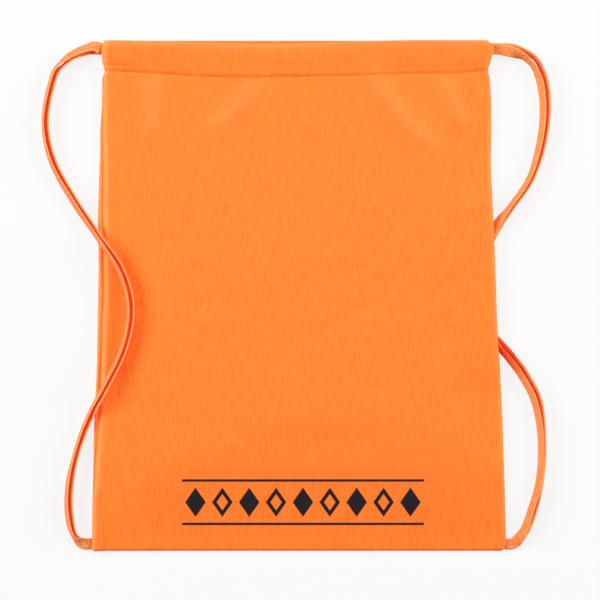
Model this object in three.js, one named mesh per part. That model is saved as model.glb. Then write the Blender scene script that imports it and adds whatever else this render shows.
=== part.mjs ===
// Drawstring stuff sack: two sewn cloth panels, each with a hem turned into a tunnel at the mouth,
// and two flat woven drawcords. Each drawcord runs through the front tunnel, turns at the far end,
// comes back through the back tunnel and is sewn into the bottom corner of the side it came from,
// so its two free stretches make one shoulder strap.
//
// Millimetres. The sack lies on its back: +X to the right, +Y towards the mouth, +Z out of the front.
// The origin is on the resting surface, under the middle of the sack.

import * as THREE from 'three';

// Outline of the sack, laid flat
const LENGTH = 457;
const BASE_WIDTH = 369;
const MOUTH_LEFT = 175.7;
const MOUTH_RIGHT = 171.2;
const LEFT_FLARE_POWER = 0.9;
const RIGHT_FLARE_POWER = 1.35;
const LEFT_CORNER_RADIUS = 1.5;
const RIGHT_CORNER_RADIUS = 4.5;
const NOTCH_DEPTH = 2.5;
const NOTCH_RUN = 7;

// Cloth, tape and the gap that seated pieces keep
const FABRIC = 0.8;
const TAPE_WIDTH = 10;
const TAPE = 1.2;
const CLEAR = 0.3;

// Hem, mouth and seams
const LANE_GAP = 0.5;
const TUNNEL_TAPER = 2.5;
const STITCHED_BAND = 5;
const HEM_DIP = 3.2;
const MOUTH_GAP = 5;
const MOUTH_CLOSING_SHARE = 0.36;
const SEAM_ALLOWANCE = 9;
const SEWN_IN_LENGTH = 12;
const ANCHOR_RISE = 6.4;

// The sack's height over its middle, and how far the front panel takes to rise to it from a seam, and
// from it to the hem
const BODY_HEIGHT = 10;
const SIDE_RUN = 80;
const BOTTOM_RUN = 80;
const HEM_RUN = 24;

// The right edge lies over its straps, and is lifted there
const LIFT_TOP = 72;
const LIFT_BOTTOM = -55;
const LIFT_FADE = 14;
const LIFT_DEPTH = 45;
const LIFT_RAMP = 24;

// Sizes that follow from those above
const TWO_TAPES = 2 * TAPE + 3 * CLEAR;
const HEM_THICKNESS = 2 * FABRIC + TWO_TAPES;
const HEM_RADIUS = HEM_THICKNESS / 2;
const CROWN_HEIGHT = 2 * HEM_THICKNESS + MOUTH_GAP;
const HEM_END_HEIGHT = 2 * HEM_THICKNESS + CLEAR;
const RIM_HEIGHT = 2 * FABRIC + TWO_TAPES;
const STRAP_LIFT = TWO_TAPES + 2 * CLEAR;
const HEM_TOP = LENGTH / 2;
const BOTTOM = -LENGTH / 2;
const TUNNEL_TOP = HEM_TOP - HEM_RADIUS;
const TUNNEL_FLOOR = TUNNEL_TOP - 2 * TAPE_WIDTH - 3 * LANE_GAP;
const TUNNEL_END = TUNNEL_FLOOR - TUNNEL_TAPER;
const BAND_END = TUNNEL_END - STITCHED_BAND;
const UPPER_LANE = TUNNEL_TOP - LANE_GAP - TAPE_WIDTH / 2;
const LOWER_LANE = TUNNEL_FLOOR + LANE_GAP + TAPE_WIDTH / 2;
const ANCHOR_LANE = BOTTOM + ANCHOR_RISE;
const LOW_LEVEL = FABRIC + CLEAR + TAPE / 2;
const HIGH_LEVEL = LOW_LEVEL + TAPE + CLEAR;
const WIDE_TURN_RADIUS = (HEM_END_HEIGHT - 2 * LOW_LEVEL) / 2;
const TURN_ROOM = WIDE_TURN_RADIUS + TAPE / 2 + CLEAR;

// Shares of the width at which the panels have a cross section, and of the body's length for their rows
const HALF_STATION_SHARES = [0, 0.004, 0.013, 0.026, 0.04, 0.053, 0.066, 0.1, 0.14, 0.18, 0.28, 0.4];
const STATION_SHARES = [
  ...HALF_STATION_SHARES,
  0.5,
  ...HALF_STATION_SHARES.map((share) => 1 - share).reverse(),
];
const BOTTOM_RUN_SHARES = [0, 0.22, 0.45, 0.72, 1];
const HEM_RUN_SHARES = [0, 0.24, 0.48];
const SIDE_SEAM_SHARES = [0, 0.5, 1];
const BOTTOM_SEAM_SHARES = [0, 0.1, 0.3, 0.5, 0.7, 0.9, 1];
const FOLD_STEPS = 6;
const FOLD_TOP_SHARE = 0.5;
const TURN_STEPS = 10;
const STRAP_LEAD = 7;
const TAPE_CORNER_SHARE = 0.35;

// A free strap has a cross section at least this often, in millimetres and in degrees of bend or twist
const STRAP_STEP_LENGTH = 26;
const STRAP_STEP_TURN = 10;
const STRAP_SAMPLES = 400;

const UP = new THREE.Vector3(0, 0, 1);
const ROLL_COLUMN = 3;
const SPREAD_COLUMN = 4;

// Centre of each side's pair of straps, from the hem's end to the sewn-in ends, chosen by hand:
// x, y, z, then the pair's roll about its length in degrees and the distance between its two tapes.
const LEFT_STRAP_ROUTE = [
  [-190.5, 219.6, 4.9, 12, 5.6],
  [-204.3, 212.3, 6.2, 38, 5.0],
  [-215.9, 200.7, 6.2, 58, 4.0],
  [-223.1, 181.9, 6.0, 68, 2.6],
  [-226.6, 152.4, 6.0, 68, 2.6],
  [-220.4, 121.1, 6.0, 68, 2.6],
  [-201.2, 85.4, 7.4, 68, 2.6],
  [-178.0, 51.6, 11.4, 68, 2.6],
  [-158.2, 22.9, 12.0, 66, 2.8],
  [-149.8, -9.4, 12.8, 64, 3.4],
  [-154.7, -44.3, 12.3, 66, 2.8],
  [-172.0, -80.1, 11.7, 68, 2.6],
  [-188.2, -110.1, 9.0, 68, 2.6],
  [-199.8, -142.6, 6.2, 68, 2.6],
  [-205.6, -173.9, 6.0, 66, 2.8],
  [-204.9, -199.5, 5.4, 42, 2.6],
  [-200.0, -215.5, 3.8, 14, 2.0],
];
const RIGHT_STRAP_ROUTE = [
  [189.1, 219.4, 5.0, 8, 6.4],
  [202.5, 215.4, 5.8, 30, 5.4],
  [212.0, 206.6, 6.6, 56, 5.0],
  [218.1, 190.9, 6.6, 64, 5.0],
  [220.4, 167.6, 6.6, 66, 4.8],
  [217.7, 139.0, 6.4, 66, 4.0],
  [207.0, 104.2, 5.6, 38, 4.2],
  [190.6, 79.6, 1.9, 0, 1.5],
  [174.6, 57.7, 1.9, 0, 1.5],
  [163.6, 33.5, 1.9, 0, 1.5],
  [161.0, 6.7, 1.9, 0, 1.5],
  [167.6, -20.1, 1.9, 0, 1.5],
  [180.4, -42.6, 1.9, 0, 1.5],
  [189.8, -54.4, 2.0, 0, 1.6],
  [201.0, -71.0, 4.6, 20, 4.8],
  [212.3, -93.4, 6.6, 50, 5.2],
  [217.7, -129.2, 6.4, 66, 3.8],
  [215.9, -164.9, 6.2, 66, 3.0],
  [209.5, -191.8, 5.4, 42, 2.8],
  [201.5, -212.0, 3.8, 14, 2.2],
];

const SACK_COLOUR = 0xf78a38;
const SEAM_COLOUR = 0xe57a2a;
const TAPE_COLOUR = 0xf89a50;
const CLOTH_ROUGHNESS = 0.72;
const TAPE_ROUGHNESS = 0.85;

function smooth(share) {
  const t = THREE.MathUtils.clamp(share, 0, 1);
  return t * t * (3 - 2 * t);
}

// Side edges of the laid-flat sack at height y: wider towards the bottom, drawn in below the hem
function flare(y, mouth, power) {
  const share = THREE.MathUtils.clamp((HEM_TOP - y) / LENGTH, 0, 1);
  const notch = NOTCH_DEPTH * (1 - smooth(Math.abs(y - TUNNEL_END) / NOTCH_RUN));
  return mouth + (BASE_WIDTH / 2 - mouth) * share ** power - notch;
}

function leftEdge(y) {
  return -flare(y, MOUTH_LEFT, LEFT_FLARE_POWER);
}

function rightEdge(y) {
  return flare(y, MOUTH_RIGHT, RIGHT_FLARE_POWER);
}

function across(y, share, inset = 0) {
  return THREE.MathUtils.lerp(leftEdge(y) + inset, rightEdge(y) - inset, share);
}

// Underside of the back panel: flat on the surface, lifted where the right edge lies over its straps
function lift(x, y) {
  const inward = smooth((x - rightEdge(y) + LIFT_DEPTH) / LIFT_RAMP);
  const above = smooth((LIFT_TOP + LIFT_FADE - y) / LIFT_FADE);
  const below = smooth((y - LIFT_BOTTOM + LIFT_FADE) / LIFT_FADE);
  return STRAP_LIFT * inward * above * below;
}

// How open the mouth is at x: 0 at the hem's ends, 1 over the middle
function mouthRise(x) {
  const inFromLeft = (x + MOUTH_LEFT) / MOUTH_LEFT;
  const inFromRight = (MOUTH_RIGHT - x) / MOUTH_RIGHT;
  return smooth(Math.min(inFromLeft, inFromRight) / MOUTH_CLOSING_SHARE);
}

function hemHeight(x) {
  return THREE.MathUtils.lerp(HEM_END_HEIGHT, CROWN_HEIGHT, mouthRise(x));
}

// Top of the front panel: low along the seams, full over the middle, then up to the hem
function frontTop(x, y) {
  const fromSide = Math.min(x - leftEdge(y), rightEdge(y) - x);
  const rise = smooth(fromSide / SIDE_RUN) * smooth((y - BOTTOM) / BOTTOM_RUN);
  const rim = RIM_HEIGHT + lift(x, y);
  const body = THREE.MathUtils.lerp(rim, BODY_HEIGHT, rise);
  return THREE.MathUtils.lerp(body, hemHeight(x), smooth((y - TUNNEL_FLOOR) / HEM_RUN + 1));
}

// The front hem hangs a little lower in its middle than at its ends
function frontDip(x, y) {
  const share = x / (x < 0 ? MOUTH_LEFT : MOUTH_RIGHT);
  return HEM_DIP * Math.max(0, 1 - share * share) * smooth((y - LIFT_TOP) / (BAND_END - LIFT_TOP));
}

// The bottom edge at x, rounded at its two corners
function bottomEdge(x) {
  const radius = x < 0 ? LEFT_CORNER_RADIUS : RIGHT_CORNER_RADIUS;
  const past = Math.max(0, Math.abs(x) - BASE_WIDTH / 2 + radius);
  return BOTTOM + radius - Math.sqrt(Math.max(0, radius * radius - past * past));
}

// Faces between two rows of a section's points, as indices, seen from +X
function ladder(outer, inner) {
  const faces = [];
  for (let k = 0; k < outer.length - 1; k += 1) {
    faces.push([outer[k], outer[k + 1], inner[k + 1]], [outer[k], inner[k + 1], inner[k]]);
  }
  return faces;
}

function range(from, to) {
  const count = Math.abs(to - from) + 1;
  return Array.from({ length: count }, (_, index) => from + Math.sign(to - from) * index);
}

// Closed body lofted from left to right through sections of the same points. Each loop lists the
// points of one wall of the section, counter-clockwise outside and clockwise in a hole, seen from
// +X, and endFaces closes a section. A section that is drawn upside down has its faces turned.
function loft(sections, loops, endFaces, isUpsideDown = false) {
  const perSection = sections[0].length;
  const faces = [];
  for (let i = 0; i < sections.length - 1; i += 1) {
    loops.forEach((loop) => loop.forEach((point, j) => {
      const a = i * perSection + point;
      const b = i * perSection + loop[(j + 1) % loop.length];
      faces.push([a, b, b + perSection], [a, b + perSection, a + perSection]);
    }));
  }
  const last = (sections.length - 1) * perSection;
  endFaces.forEach(([a, b, c]) => faces.push([c, b, a], [a + last, b + last, c + last]));
  const geometry = new THREE.BufferGeometry();
  const positions = sections.flat().flatMap((point) => point.toArray());
  geometry.setAttribute('position', new THREE.Float32BufferAttribute(positions, 3));
  geometry.setIndex(faces.flatMap((face) => (isUpsideDown ? face.reverse() : face)));
  geometry.computeVertexNormals();
  return geometry;
}

// Heights of the panels' rows below the hem
function bodyRows() {
  const upFromBottom = BOTTOM_RUN_SHARES.map((share) => BOTTOM + BOTTOM_RUN * share);
  const middle = [
    (BOTTOM + BOTTOM_RUN + LIFT_BOTTOM) / 2,
    LIFT_BOTTOM - LIFT_FADE,
    LIFT_BOTTOM - LIFT_FADE / 2,
    LIFT_BOTTOM,
    (LIFT_BOTTOM + LIFT_TOP) / 2,
    LIFT_TOP,
    LIFT_TOP + LIFT_FADE / 2,
    LIFT_TOP + LIFT_FADE,
    (LIFT_TOP + LIFT_FADE + BAND_END) / 2,
  ];
  const belowHem = HEM_RUN_SHARES.map((share) => TUNNEL_FLOOR - HEM_RUN * (1 - share));
  return [...upFromBottom, ...middle, ...belowHem];
}

// Points round a fold of the cloth, from its outer side over the top to its inner side
function foldPoints(radius, insetAt) {
  return range(0, FOLD_STEPS).map((step) => {
    const turned = step / FOLD_STEPS;
    const angle = Math.PI * turned;
    const y = TUNNEL_TOP + radius * Math.sin(angle);
    return { y, d: HEM_RADIUS - radius * Math.cos(angle), inset: insetAt(turned) };
  });
}

// One panel's section as heights y and depths d in from its outer face: the cloth runs up the bag,
// over the hem's fold and down inside, and is sewn to itself below the tunnel. The turned-in part
// stops short of the hem's ends by its inset.
function panelSection() {
  const rows = bodyRows();
  const outside = [...rows, BAND_END, TUNNEL_END, TUNNEL_FLOOR].map((y) => ({ y, d: 0, inset: 0 }));
  const fold = foldPoints(HEM_RADIUS, (turned) => (turned > FOLD_TOP_SHARE ? TURN_ROOM * turned : 0));
  const turnedIn = [
    { y: TUNNEL_FLOOR, d: HEM_THICKNESS, inset: TURN_ROOM },
    { y: TUNNEL_END, d: 2 * FABRIC, inset: TURN_ROOM },
    { y: BAND_END, d: 2 * FABRIC, inset: TURN_ROOM },
  ];
  const inside = [BAND_END, ...[...rows].reverse()].map((y) => ({ y, d: FABRIC, inset: 0 }));
  const ring = [...outside, ...fold, ...turnedIn, ...inside];
  const tunnel = [
    { y: TUNNEL_END + FABRIC, d: FABRIC, inset: 0 },
    { y: TUNNEL_FLOOR, d: FABRIC, inset: 0 },
    ...foldPoints(HEM_RADIUS - FABRIC, (turned) => TURN_ROOM * turned),
    { y: TUNNEL_FLOOR, d: HEM_THICKNESS - FABRIC, inset: TURN_ROOM },
  ];
  const band = rows.length;
  const neck = band + 1;
  const turnedNeck = outside.length + fold.length + 1;
  const bandStep = turnedNeck + 2;
  const tunnelStart = ring.length;
  const tunnelLast = ring.length + tunnel.length - 1;
  const endFaces = [
    ...ladder(range(0, band), range(ring.length - 1, bandStep)),
    [band, neck, bandStep],
    [neck, turnedNeck, bandStep],
    [turnedNeck, turnedNeck + 1, bandStep],
    [neck, tunnelStart, turnedNeck],
    ...ladder(range(neck, turnedNeck), [...range(tunnelStart, tunnelLast), tunnelStart]),
  ];
  const loops = [range(0, ring.length - 1), range(tunnelLast, tunnelStart)];
  return { points: [...ring, ...tunnel], loops, endFaces };
}

// The bottom row follows the rounded corners
function rowHeight(point, share) {
  const x = across(point.y, share);
  return point.y === BOTTOM ? bottomEdge(x) : point.y;
}

function panel(place, isUpsideDown) {
  const { points, loops, endFaces } = panelSection();
  const sections = STATION_SHARES.map((share) => points.map((point) => {
    const y = rowHeight(point, share);
    return place(across(point.y, share, point.inset), y, point.d);
  }));
  return loft(sections, loops, endFaces, isUpsideDown);
}

function backPanel() {
  return panel((x, y, d) => new THREE.Vector3(x, y, lift(x, y) + d), false);
}

function frontPanel() {
  const place = (x, y, d) => {
    return new THREE.Vector3(x, y - frontDip(x, y), frontTop(x, Math.min(y, TUNNEL_TOP)) - d);
  };
  return panel(place, true);
}

// A strip of turned-in seam allowance between the panels, over the given rows and widths
function seamStrip(shares, rows, from, to) {
  const low = (x, y) => lift(x, y) + FABRIC + CLEAR;
  const thickness = TWO_TAPES - 2 * CLEAR;
  const sections = shares.map((share) => {
    const at = (y, d) => {
      const x = THREE.MathUtils.lerp(from(y), to(y), share);
      return new THREE.Vector3(x, y, low(x, y) + d);
    };
    return [...rows.map((y) => at(y, 0)), ...[...rows].reverse().map((y) => at(y, thickness))];
  });
  const last = 2 * rows.length - 1;
  const endFaces = ladder(range(0, rows.length - 1), range(last, rows.length));
  return loft(sections, [range(0, last)], endFaces);
}

function sideSeamRows() {
  const start = ANCHOR_LANE + TAPE_WIDTH / 2 + CLEAR;
  const end = BAND_END - CLEAR;
  return [start, ...bodyRows().filter((y) => y > start && y < end), end];
}

function leftSideSeam() {
  return seamStrip(SIDE_SEAM_SHARES, sideSeamRows(), leftEdge, (y) => leftEdge(y) + SEAM_ALLOWANCE);
}

function rightSideSeam() {
  return seamStrip(SIDE_SEAM_SHARES, sideSeamRows(), (y) => rightEdge(y) - SEAM_ALLOWANCE, rightEdge);
}

function bottomSeam() {
  const rows = [BOTTOM, BOTTOM + SEAM_ALLOWANCE];
  const inset = SEWN_IN_LENGTH + CLEAR;
  const [from, to] = [leftEdge(ANCHOR_LANE) + inset, rightEdge(ANCHOR_LANE) - inset];
  return seamStrip(BOTTOM_SEAM_SHARES, rows, () => from, () => to);
}

// Flat tape's section, with its corners taken off: x through its thickness, y across its width
function tapeSection() {
  const half = new THREE.Vector2(TAPE / 2, TAPE_WIDTH / 2);
  const corner = TAPE * TAPE_CORNER_SHARE;
  const shape = new THREE.Shape();
  shape.moveTo(half.x, corner - half.y);
  shape.lineTo(half.x, half.y - corner);
  shape.lineTo(half.x - corner, half.y);
  shape.lineTo(corner - half.x, half.y);
  shape.lineTo(-half.x, half.y - corner);
  shape.lineTo(-half.x, corner - half.y);
  shape.lineTo(corner - half.x, -half.y);
  shape.lineTo(half.x - corner, -half.y);
  shape.closePath();
  return shape;
}

// The curve that one tape of a pair follows: the pair's centre line, moved out along the tapes' faces.
// Both tapes take their steps along the centre line, so that they stay side by side, and the steps are
// closer together where the pair bends or twists.
class TapePath extends THREE.Curve {
  constructor(rows, face) {
    super();
    this.rows = rows;
    this.face = face;
    this.centre = new THREE.CatmullRomCurve3(rows.map(([x, y, z]) => new THREE.Vector3(x, y, z)));
    this.shares = this.stepShares();
  }

  // Shares of the centre line's length at which the tape has a cross section
  stepShares() {
    const share = (sample) => sample / STRAP_SAMPLES;
    const sampleLength = this.centre.getLength() / STRAP_SAMPLES;
    const counts = [0];
    for (let sample = 1; sample <= STRAP_SAMPLES; sample += 1) {
      const [from, to] = [share(sample - 1), share(sample)];
      const bend = this.centre.getTangentAt(from).angleTo(this.centre.getTangentAt(to));
      const turn = Math.max(bend, this.normalAt(from).angleTo(this.normalAt(to)));
      const steps = sampleLength / STRAP_STEP_LENGTH + THREE.MathUtils.radToDeg(turn) / STRAP_STEP_TURN;
      counts.push(counts[sample - 1] + steps);
    }
    const steps = Math.ceil(counts[STRAP_SAMPLES]);
    return range(0, steps).map((step) => {
      const wanted = (counts[STRAP_SAMPLES] * step) / steps;
      const after = Math.max(1, counts.findIndex((count) => count >= wanted));
      const part = (wanted - counts[after - 1]) / (counts[after] - counts[after - 1]);
      return share(after - 1 + part);
    });
  }

  // What a column of the rows gives at a share of the centre line's length
  columnAt(column, share) {
    const place = this.centre.getUtoTmapping(share) * (this.rows.length - 1);
    const before = Math.min(Math.floor(place), this.rows.length - 2);
    const [from, to] = [this.rows[before][column], this.rows[before + 1][column]];
    return THREE.MathUtils.lerp(from, to, smooth(place - before));
  }

  normalAt(share) {
    return faceNormal(this.centre.getTangentAt(share), this.columnAt(ROLL_COLUMN, share));
  }

  getPoint(share) {
    const offset = (this.face * this.columnAt(SPREAD_COLUMN, share)) / 2;
    return this.centre.getPointAt(share).addScaledVector(this.normalAt(share), offset);
  }

  getSpacedPoints() {
    return this.shares.map((share) => this.getPoint(share));
  }

  computeFrenetFrames() {
    const tangents = this.shares.map((share) => this.centre.getTangentAt(share));
    const normals = this.shares.map((share) => this.normalAt(share));
    const binormals = tangents.map((tangent, k) => new THREE.Vector3().crossVectors(tangent, normals[k]));
    return { tangents, normals, binormals };
  }
}

// Upward normal of a tape that runs along tangent, tilted to the right of its run by the roll
function faceNormal(tangent, roll) {
  const side = new THREE.Vector3().crossVectors(tangent, UP).normalize();
  const up = new THREE.Vector3().crossVectors(side, tangent);
  const angle = THREE.MathUtils.degToRad(roll);
  return up.multiplyScalar(Math.cos(angle)).addScaledVector(side, Math.sin(angle));
}

// A side's two free straps: the rows of its route with the pieces that it joins at either end. The
// front tape lies on the upper side of the pair, the back tape on its lower side.
function strapRows(side, route) {
  const edge = side < 0 ? leftEdge : rightEdge;
  const level = hemLevel(side);
  const outward = (y, reach) => edge(y) + side * (CLEAR + reach);
  const exit = (reach) => [
    outward(UPPER_LANE, reach),
    UPPER_LANE + reach * laneSlope(),
    HEM_END_HEIGHT / 2,
    0,
    HEM_END_HEIGHT - 2 * level,
  ];
  const sewn = (reach) => [
    outward(ANCHOR_LANE, reach),
    ANCHOR_LANE,
    (LOW_LEVEL + HIGH_LEVEL) / 2,
    0,
    HIGH_LEVEL - LOW_LEVEL,
  ];
  return [exit(0), exit(STRAP_LEAD), ...route, sewn(STRAP_LEAD), sewn(0)];
}

function strap(rows, face) {
  const extrudePath = new TapePath(rows, face);
  return new THREE.ExtrudeGeometry(tapeSection(), { steps: extrudePath.shares.length - 1, extrudePath });
}

// Each drawcord changes lanes on its way through the hem, so it leaves at the top of one end and
// turns at the bottom of the other
function laneSlope() {
  return (UPPER_LANE - LOWER_LANE) / (MOUTH_LEFT + MOUTH_RIGHT);
}

// The left drawcord lies against the panels and the right one between it and the turned-in hem
function hemLevel(side) {
  return side < 0 ? LOW_LEVEL : HIGH_LEVEL;
}

// The stretch of a drawcord that the hem holds: in through the front tunnel, round, and out of the
// back one. Its outline is drawn in the upright plane that it lies in, then given the tape's width.
function drawcordInHem(side) {
  const start = new THREE.Vector2(side < 0 ? leftEdge(UPPER_LANE) : rightEdge(UPPER_LANE), UPPER_LANE);
  const endEdge = side < 0 ? rightEdge(LOWER_LANE) : leftEdge(LOWER_LANE);
  const end = new THREE.Vector2(endEdge + side * CLEAR, LOWER_LANE);
  const level = hemLevel(side);
  const reach = start.distanceTo(end);
  const turnStart = reach - HEM_END_HEIGHT / 2 + level - TAPE / 2;
  const along = (share) => new THREE.Vector2().lerpVectors(start, end, share);
  const stations = STATION_SHARES.map((share) => share * reach).filter((run) => run < turnStart);
  const front = [...stations, turnStart].map((run) => {
    return new THREE.Vector2(run, hemHeight(along(run / reach).x) - level);
  });
  const radius = (front[front.length - 1].y - level) / 2;
  const turn = (offset) => {
    const points = [];
    for (let step = 1; step < TURN_STEPS; step += 1) {
      const angle = Math.PI / 2 - (Math.PI * step) / TURN_STEPS;
      const arm = new THREE.Vector2(Math.cos(angle), Math.sin(angle)).multiplyScalar(radius + offset);
      points.push(arm.add(new THREE.Vector2(turnStart, level + radius)));
    }
    return points;
  };
  const back = [new THREE.Vector2(turnStart, level), new THREE.Vector2(0, level)];
  const raised = (points, offset) => points.map((point) => new THREE.Vector2(point.x, point.y + offset));
  const outside = [...raised(front, TAPE / 2), ...turn(TAPE / 2), ...raised(back, -TAPE / 2)];
  const inside = [...raised(front, -TAPE / 2), ...turn(-TAPE / 2), ...raised(back, TAPE / 2)];
  const outline = new THREE.Shape([...outside, ...inside.reverse()]);
  const tape = new THREE.ExtrudeGeometry(outline, { depth: TAPE_WIDTH, bevelEnabled: false });
  const mesh = new THREE.Mesh(tape);
  const run = new THREE.Vector3(end.x - start.x, end.y - start.y, 0).normalize();
  const width = new THREE.Vector3().crossVectors(run, UP);
  mesh.setRotationFromMatrix(new THREE.Matrix4().makeBasis(run, UP, width));
  mesh.position.set(start.x, start.y, 0).addScaledVector(width, -TAPE_WIDTH / 2);
  return mesh;
}

// The end of a strap, sewn between the panels at the bottom of the side seam
function strapEnd(side, level) {
  const edge = side < 0 ? leftEdge(ANCHOR_LANE) : rightEdge(ANCHOR_LANE);
  const mesh = new THREE.Mesh(new THREE.BoxGeometry(SEWN_IN_LENGTH, TAPE_WIDTH, TAPE));
  mesh.position.set(edge - (side * SEWN_IN_LENGTH) / 2, ANCHOR_LANE, level);
  return mesh;
}

function finish(colour, roughness) {
  return new THREE.MeshStandardMaterial({ color: colour, roughness, metalness: 0, side: THREE.DoubleSide });
}

const sack = new THREE.Group();

function add(name, piece, material) {
  const mesh = piece.isMesh ? piece : new THREE.Mesh(piece);
  mesh.name = name;
  mesh.material = material;
  sack.add(mesh);
}

add('back_panel', backPanel(), finish(SACK_COLOUR, CLOTH_ROUGHNESS));
add('front_panel', frontPanel(), finish(SACK_COLOUR, CLOTH_ROUGHNESS));
add('left_side_seam', leftSideSeam(), finish(SEAM_COLOUR, CLOTH_ROUGHNESS));
add('right_side_seam', rightSideSeam(), finish(SEAM_COLOUR, CLOTH_ROUGHNESS));
add('bottom_seam', bottomSeam(), finish(SEAM_COLOUR, CLOTH_ROUGHNESS));

const sides = [
  { name: 'left', side: -1, route: LEFT_STRAP_ROUTE },
  { name: 'right', side: 1, route: RIGHT_STRAP_ROUTE },
];
sides.forEach(({ name, side, route }) => {
  const rows = strapRows(side, route);
  add(`${name}_drawcord_in_hem`, drawcordInHem(side), finish(TAPE_COLOUR, TAPE_ROUGHNESS));
  add(`${name}_front_strap`, strap(rows, 1), finish(TAPE_COLOUR, TAPE_ROUGHNESS));
  add(`${name}_back_strap`, strap(rows, -1), finish(TAPE_COLOUR, TAPE_ROUGHNESS));
  add(`${name}_front_strap_end`, strapEnd(side, HIGH_LEVEL), finish(TAPE_COLOUR, TAPE_ROUGHNESS));
  add(`${name}_back_strap_end`, strapEnd(side, LOW_LEVEL), finish(TAPE_COLOUR, TAPE_ROUGHNESS));
});

export default sack;
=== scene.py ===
"""Drawstring stuff sack, laid flat on its back: cloth, hems, seams, stitching and strap tapes.

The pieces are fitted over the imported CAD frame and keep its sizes. Everything is in metres, with +X
to the right, +Y towards the mouth and +Z out of the front panel.
"""

import logging
import math
from dataclasses import dataclass, field
from enum import Enum
from typing import Callable, Sequence, Union

import bmesh
import bpy
from mathutils import Matrix, Vector, noise


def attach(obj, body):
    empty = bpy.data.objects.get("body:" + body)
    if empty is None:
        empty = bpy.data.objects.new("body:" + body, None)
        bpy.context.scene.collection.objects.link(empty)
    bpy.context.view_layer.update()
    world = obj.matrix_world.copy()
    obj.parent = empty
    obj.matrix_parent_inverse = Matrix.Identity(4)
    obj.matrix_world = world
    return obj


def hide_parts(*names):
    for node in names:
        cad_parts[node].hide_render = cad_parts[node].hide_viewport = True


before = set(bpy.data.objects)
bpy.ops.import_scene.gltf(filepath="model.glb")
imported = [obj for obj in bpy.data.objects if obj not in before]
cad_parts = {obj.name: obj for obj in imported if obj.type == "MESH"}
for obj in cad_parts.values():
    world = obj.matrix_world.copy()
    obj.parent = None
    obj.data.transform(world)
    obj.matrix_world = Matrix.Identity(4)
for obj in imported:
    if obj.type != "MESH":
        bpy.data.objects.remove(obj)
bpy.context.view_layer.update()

log = logging.getLogger("stuff_sack")

Colour = tuple[float, float, float, float]
Value = Union[float, Sequence[float], bpy.types.NodeSocket]
Frame = tuple[Vector, Vector, Vector]
Table = tuple[tuple[float, float], ...]
Indexer = Callable[[bmesh.types.BMVert], tuple[int, int]]
BLACK: Colour = (0.0, 0.0, 0.0, 1.0)
WHITE: Colour = (1.0, 1.0, 1.0, 1.0)
UP = Vector((0.0, 0.0, 1.0))


# Small helpers

def lerp(low: float, high: float, share: float) -> float:
    """The value at a share of the way from low to high."""
    return low + (high - low) * share


def smooth(share: float) -> float:
    """A soft step from 0 to 1."""
    t = min(1.0, max(0.0, share))
    return t * t * (3 - 2 * t)


def bell(distance: float, reach: float) -> float:
    """A soft bump of height 1 that has mostly faded at one reach."""
    return math.exp(-((distance / reach) ** 2))


def in_mm(*rows: tuple[float, float]) -> Table:
    """A table of positions and values that is written in millimetres, in metres."""
    return tuple((at / 1000, value / 1000) for at, value in rows)


def table_value(rows: Table, at: float) -> float:
    """Read a value between the rows of a short table.

    Args:
        rows: pairs of position and value, in rising order of position.
        at: the position to read.

    Returns:
        The softly blended value, held level outside the table.
    """
    if at <= rows[0][0]:
        return rows[0][1]
    for (low, before), (high, after) in zip(rows, rows[1:]):
        if at <= high:
            return lerp(before, after, smooth((at - low) / (high - low)))
    return rows[-1][1]


def curve_value(rows: Table, at: float) -> float:
    """Read a value from a smooth curve through the rows of a short table.

    Args:
        rows: pairs of position and value, in rising order of position.
        at: the position to read.

    Returns:
        The curve's value, held level outside the table.
    """
    if at <= rows[0][0]:
        return rows[0][1]
    last = len(rows) - 1
    for k in range(last):
        (low, before), (high, after) = rows[k], rows[k + 1]
        if at <= high:
            run, t = high - low, (at - low) / (high - low)
            first = (after - rows[k - 1][1]) / (high - rows[k - 1][0]) * run if k else 0.0
            second = (rows[k + 2][1] - before) / (rows[k + 2][0] - low) * run if k + 2 <= last else 0.0
            cubic = 2 * before - 2 * after + first + second
            square = 3 * after - 3 * before - 2 * first - second
            return before + first * t + square * t**2 + cubic * t**3
    return rows[last][1]


def spaced(stops: Table) -> list[float]:
    """Positions whose spacing follows a table.

    Args:
        stops: pairs of position and spacing, in rising order of position.

    Returns:
        Positions from the first stop to the last, both included.
    """
    first, last = stops[0][0], stops[-1][0]
    found = [first]
    while found[-1] < last:
        found.append(found[-1] + table_value(stops, found[-1]))
    stretch = (last - first) / (found[-1] - first)
    return [first + (place - first) * stretch for place in found]


class Part(Enum):
    """A part of the sack that gives its name to pieces."""

    @property
    def label(self) -> str:
        """The part's name as it stands in the names of pieces."""
        return self.name.lower()


class Side(Part):
    """A side of the sack, with the sign of its direction in X."""

    LEFT = -1
    RIGHT = 1


class Face(Part):
    """A panel of the sack, with the sign of its outward direction in Z."""

    FRONT = 1
    BACK = -1


# Finishes

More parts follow.
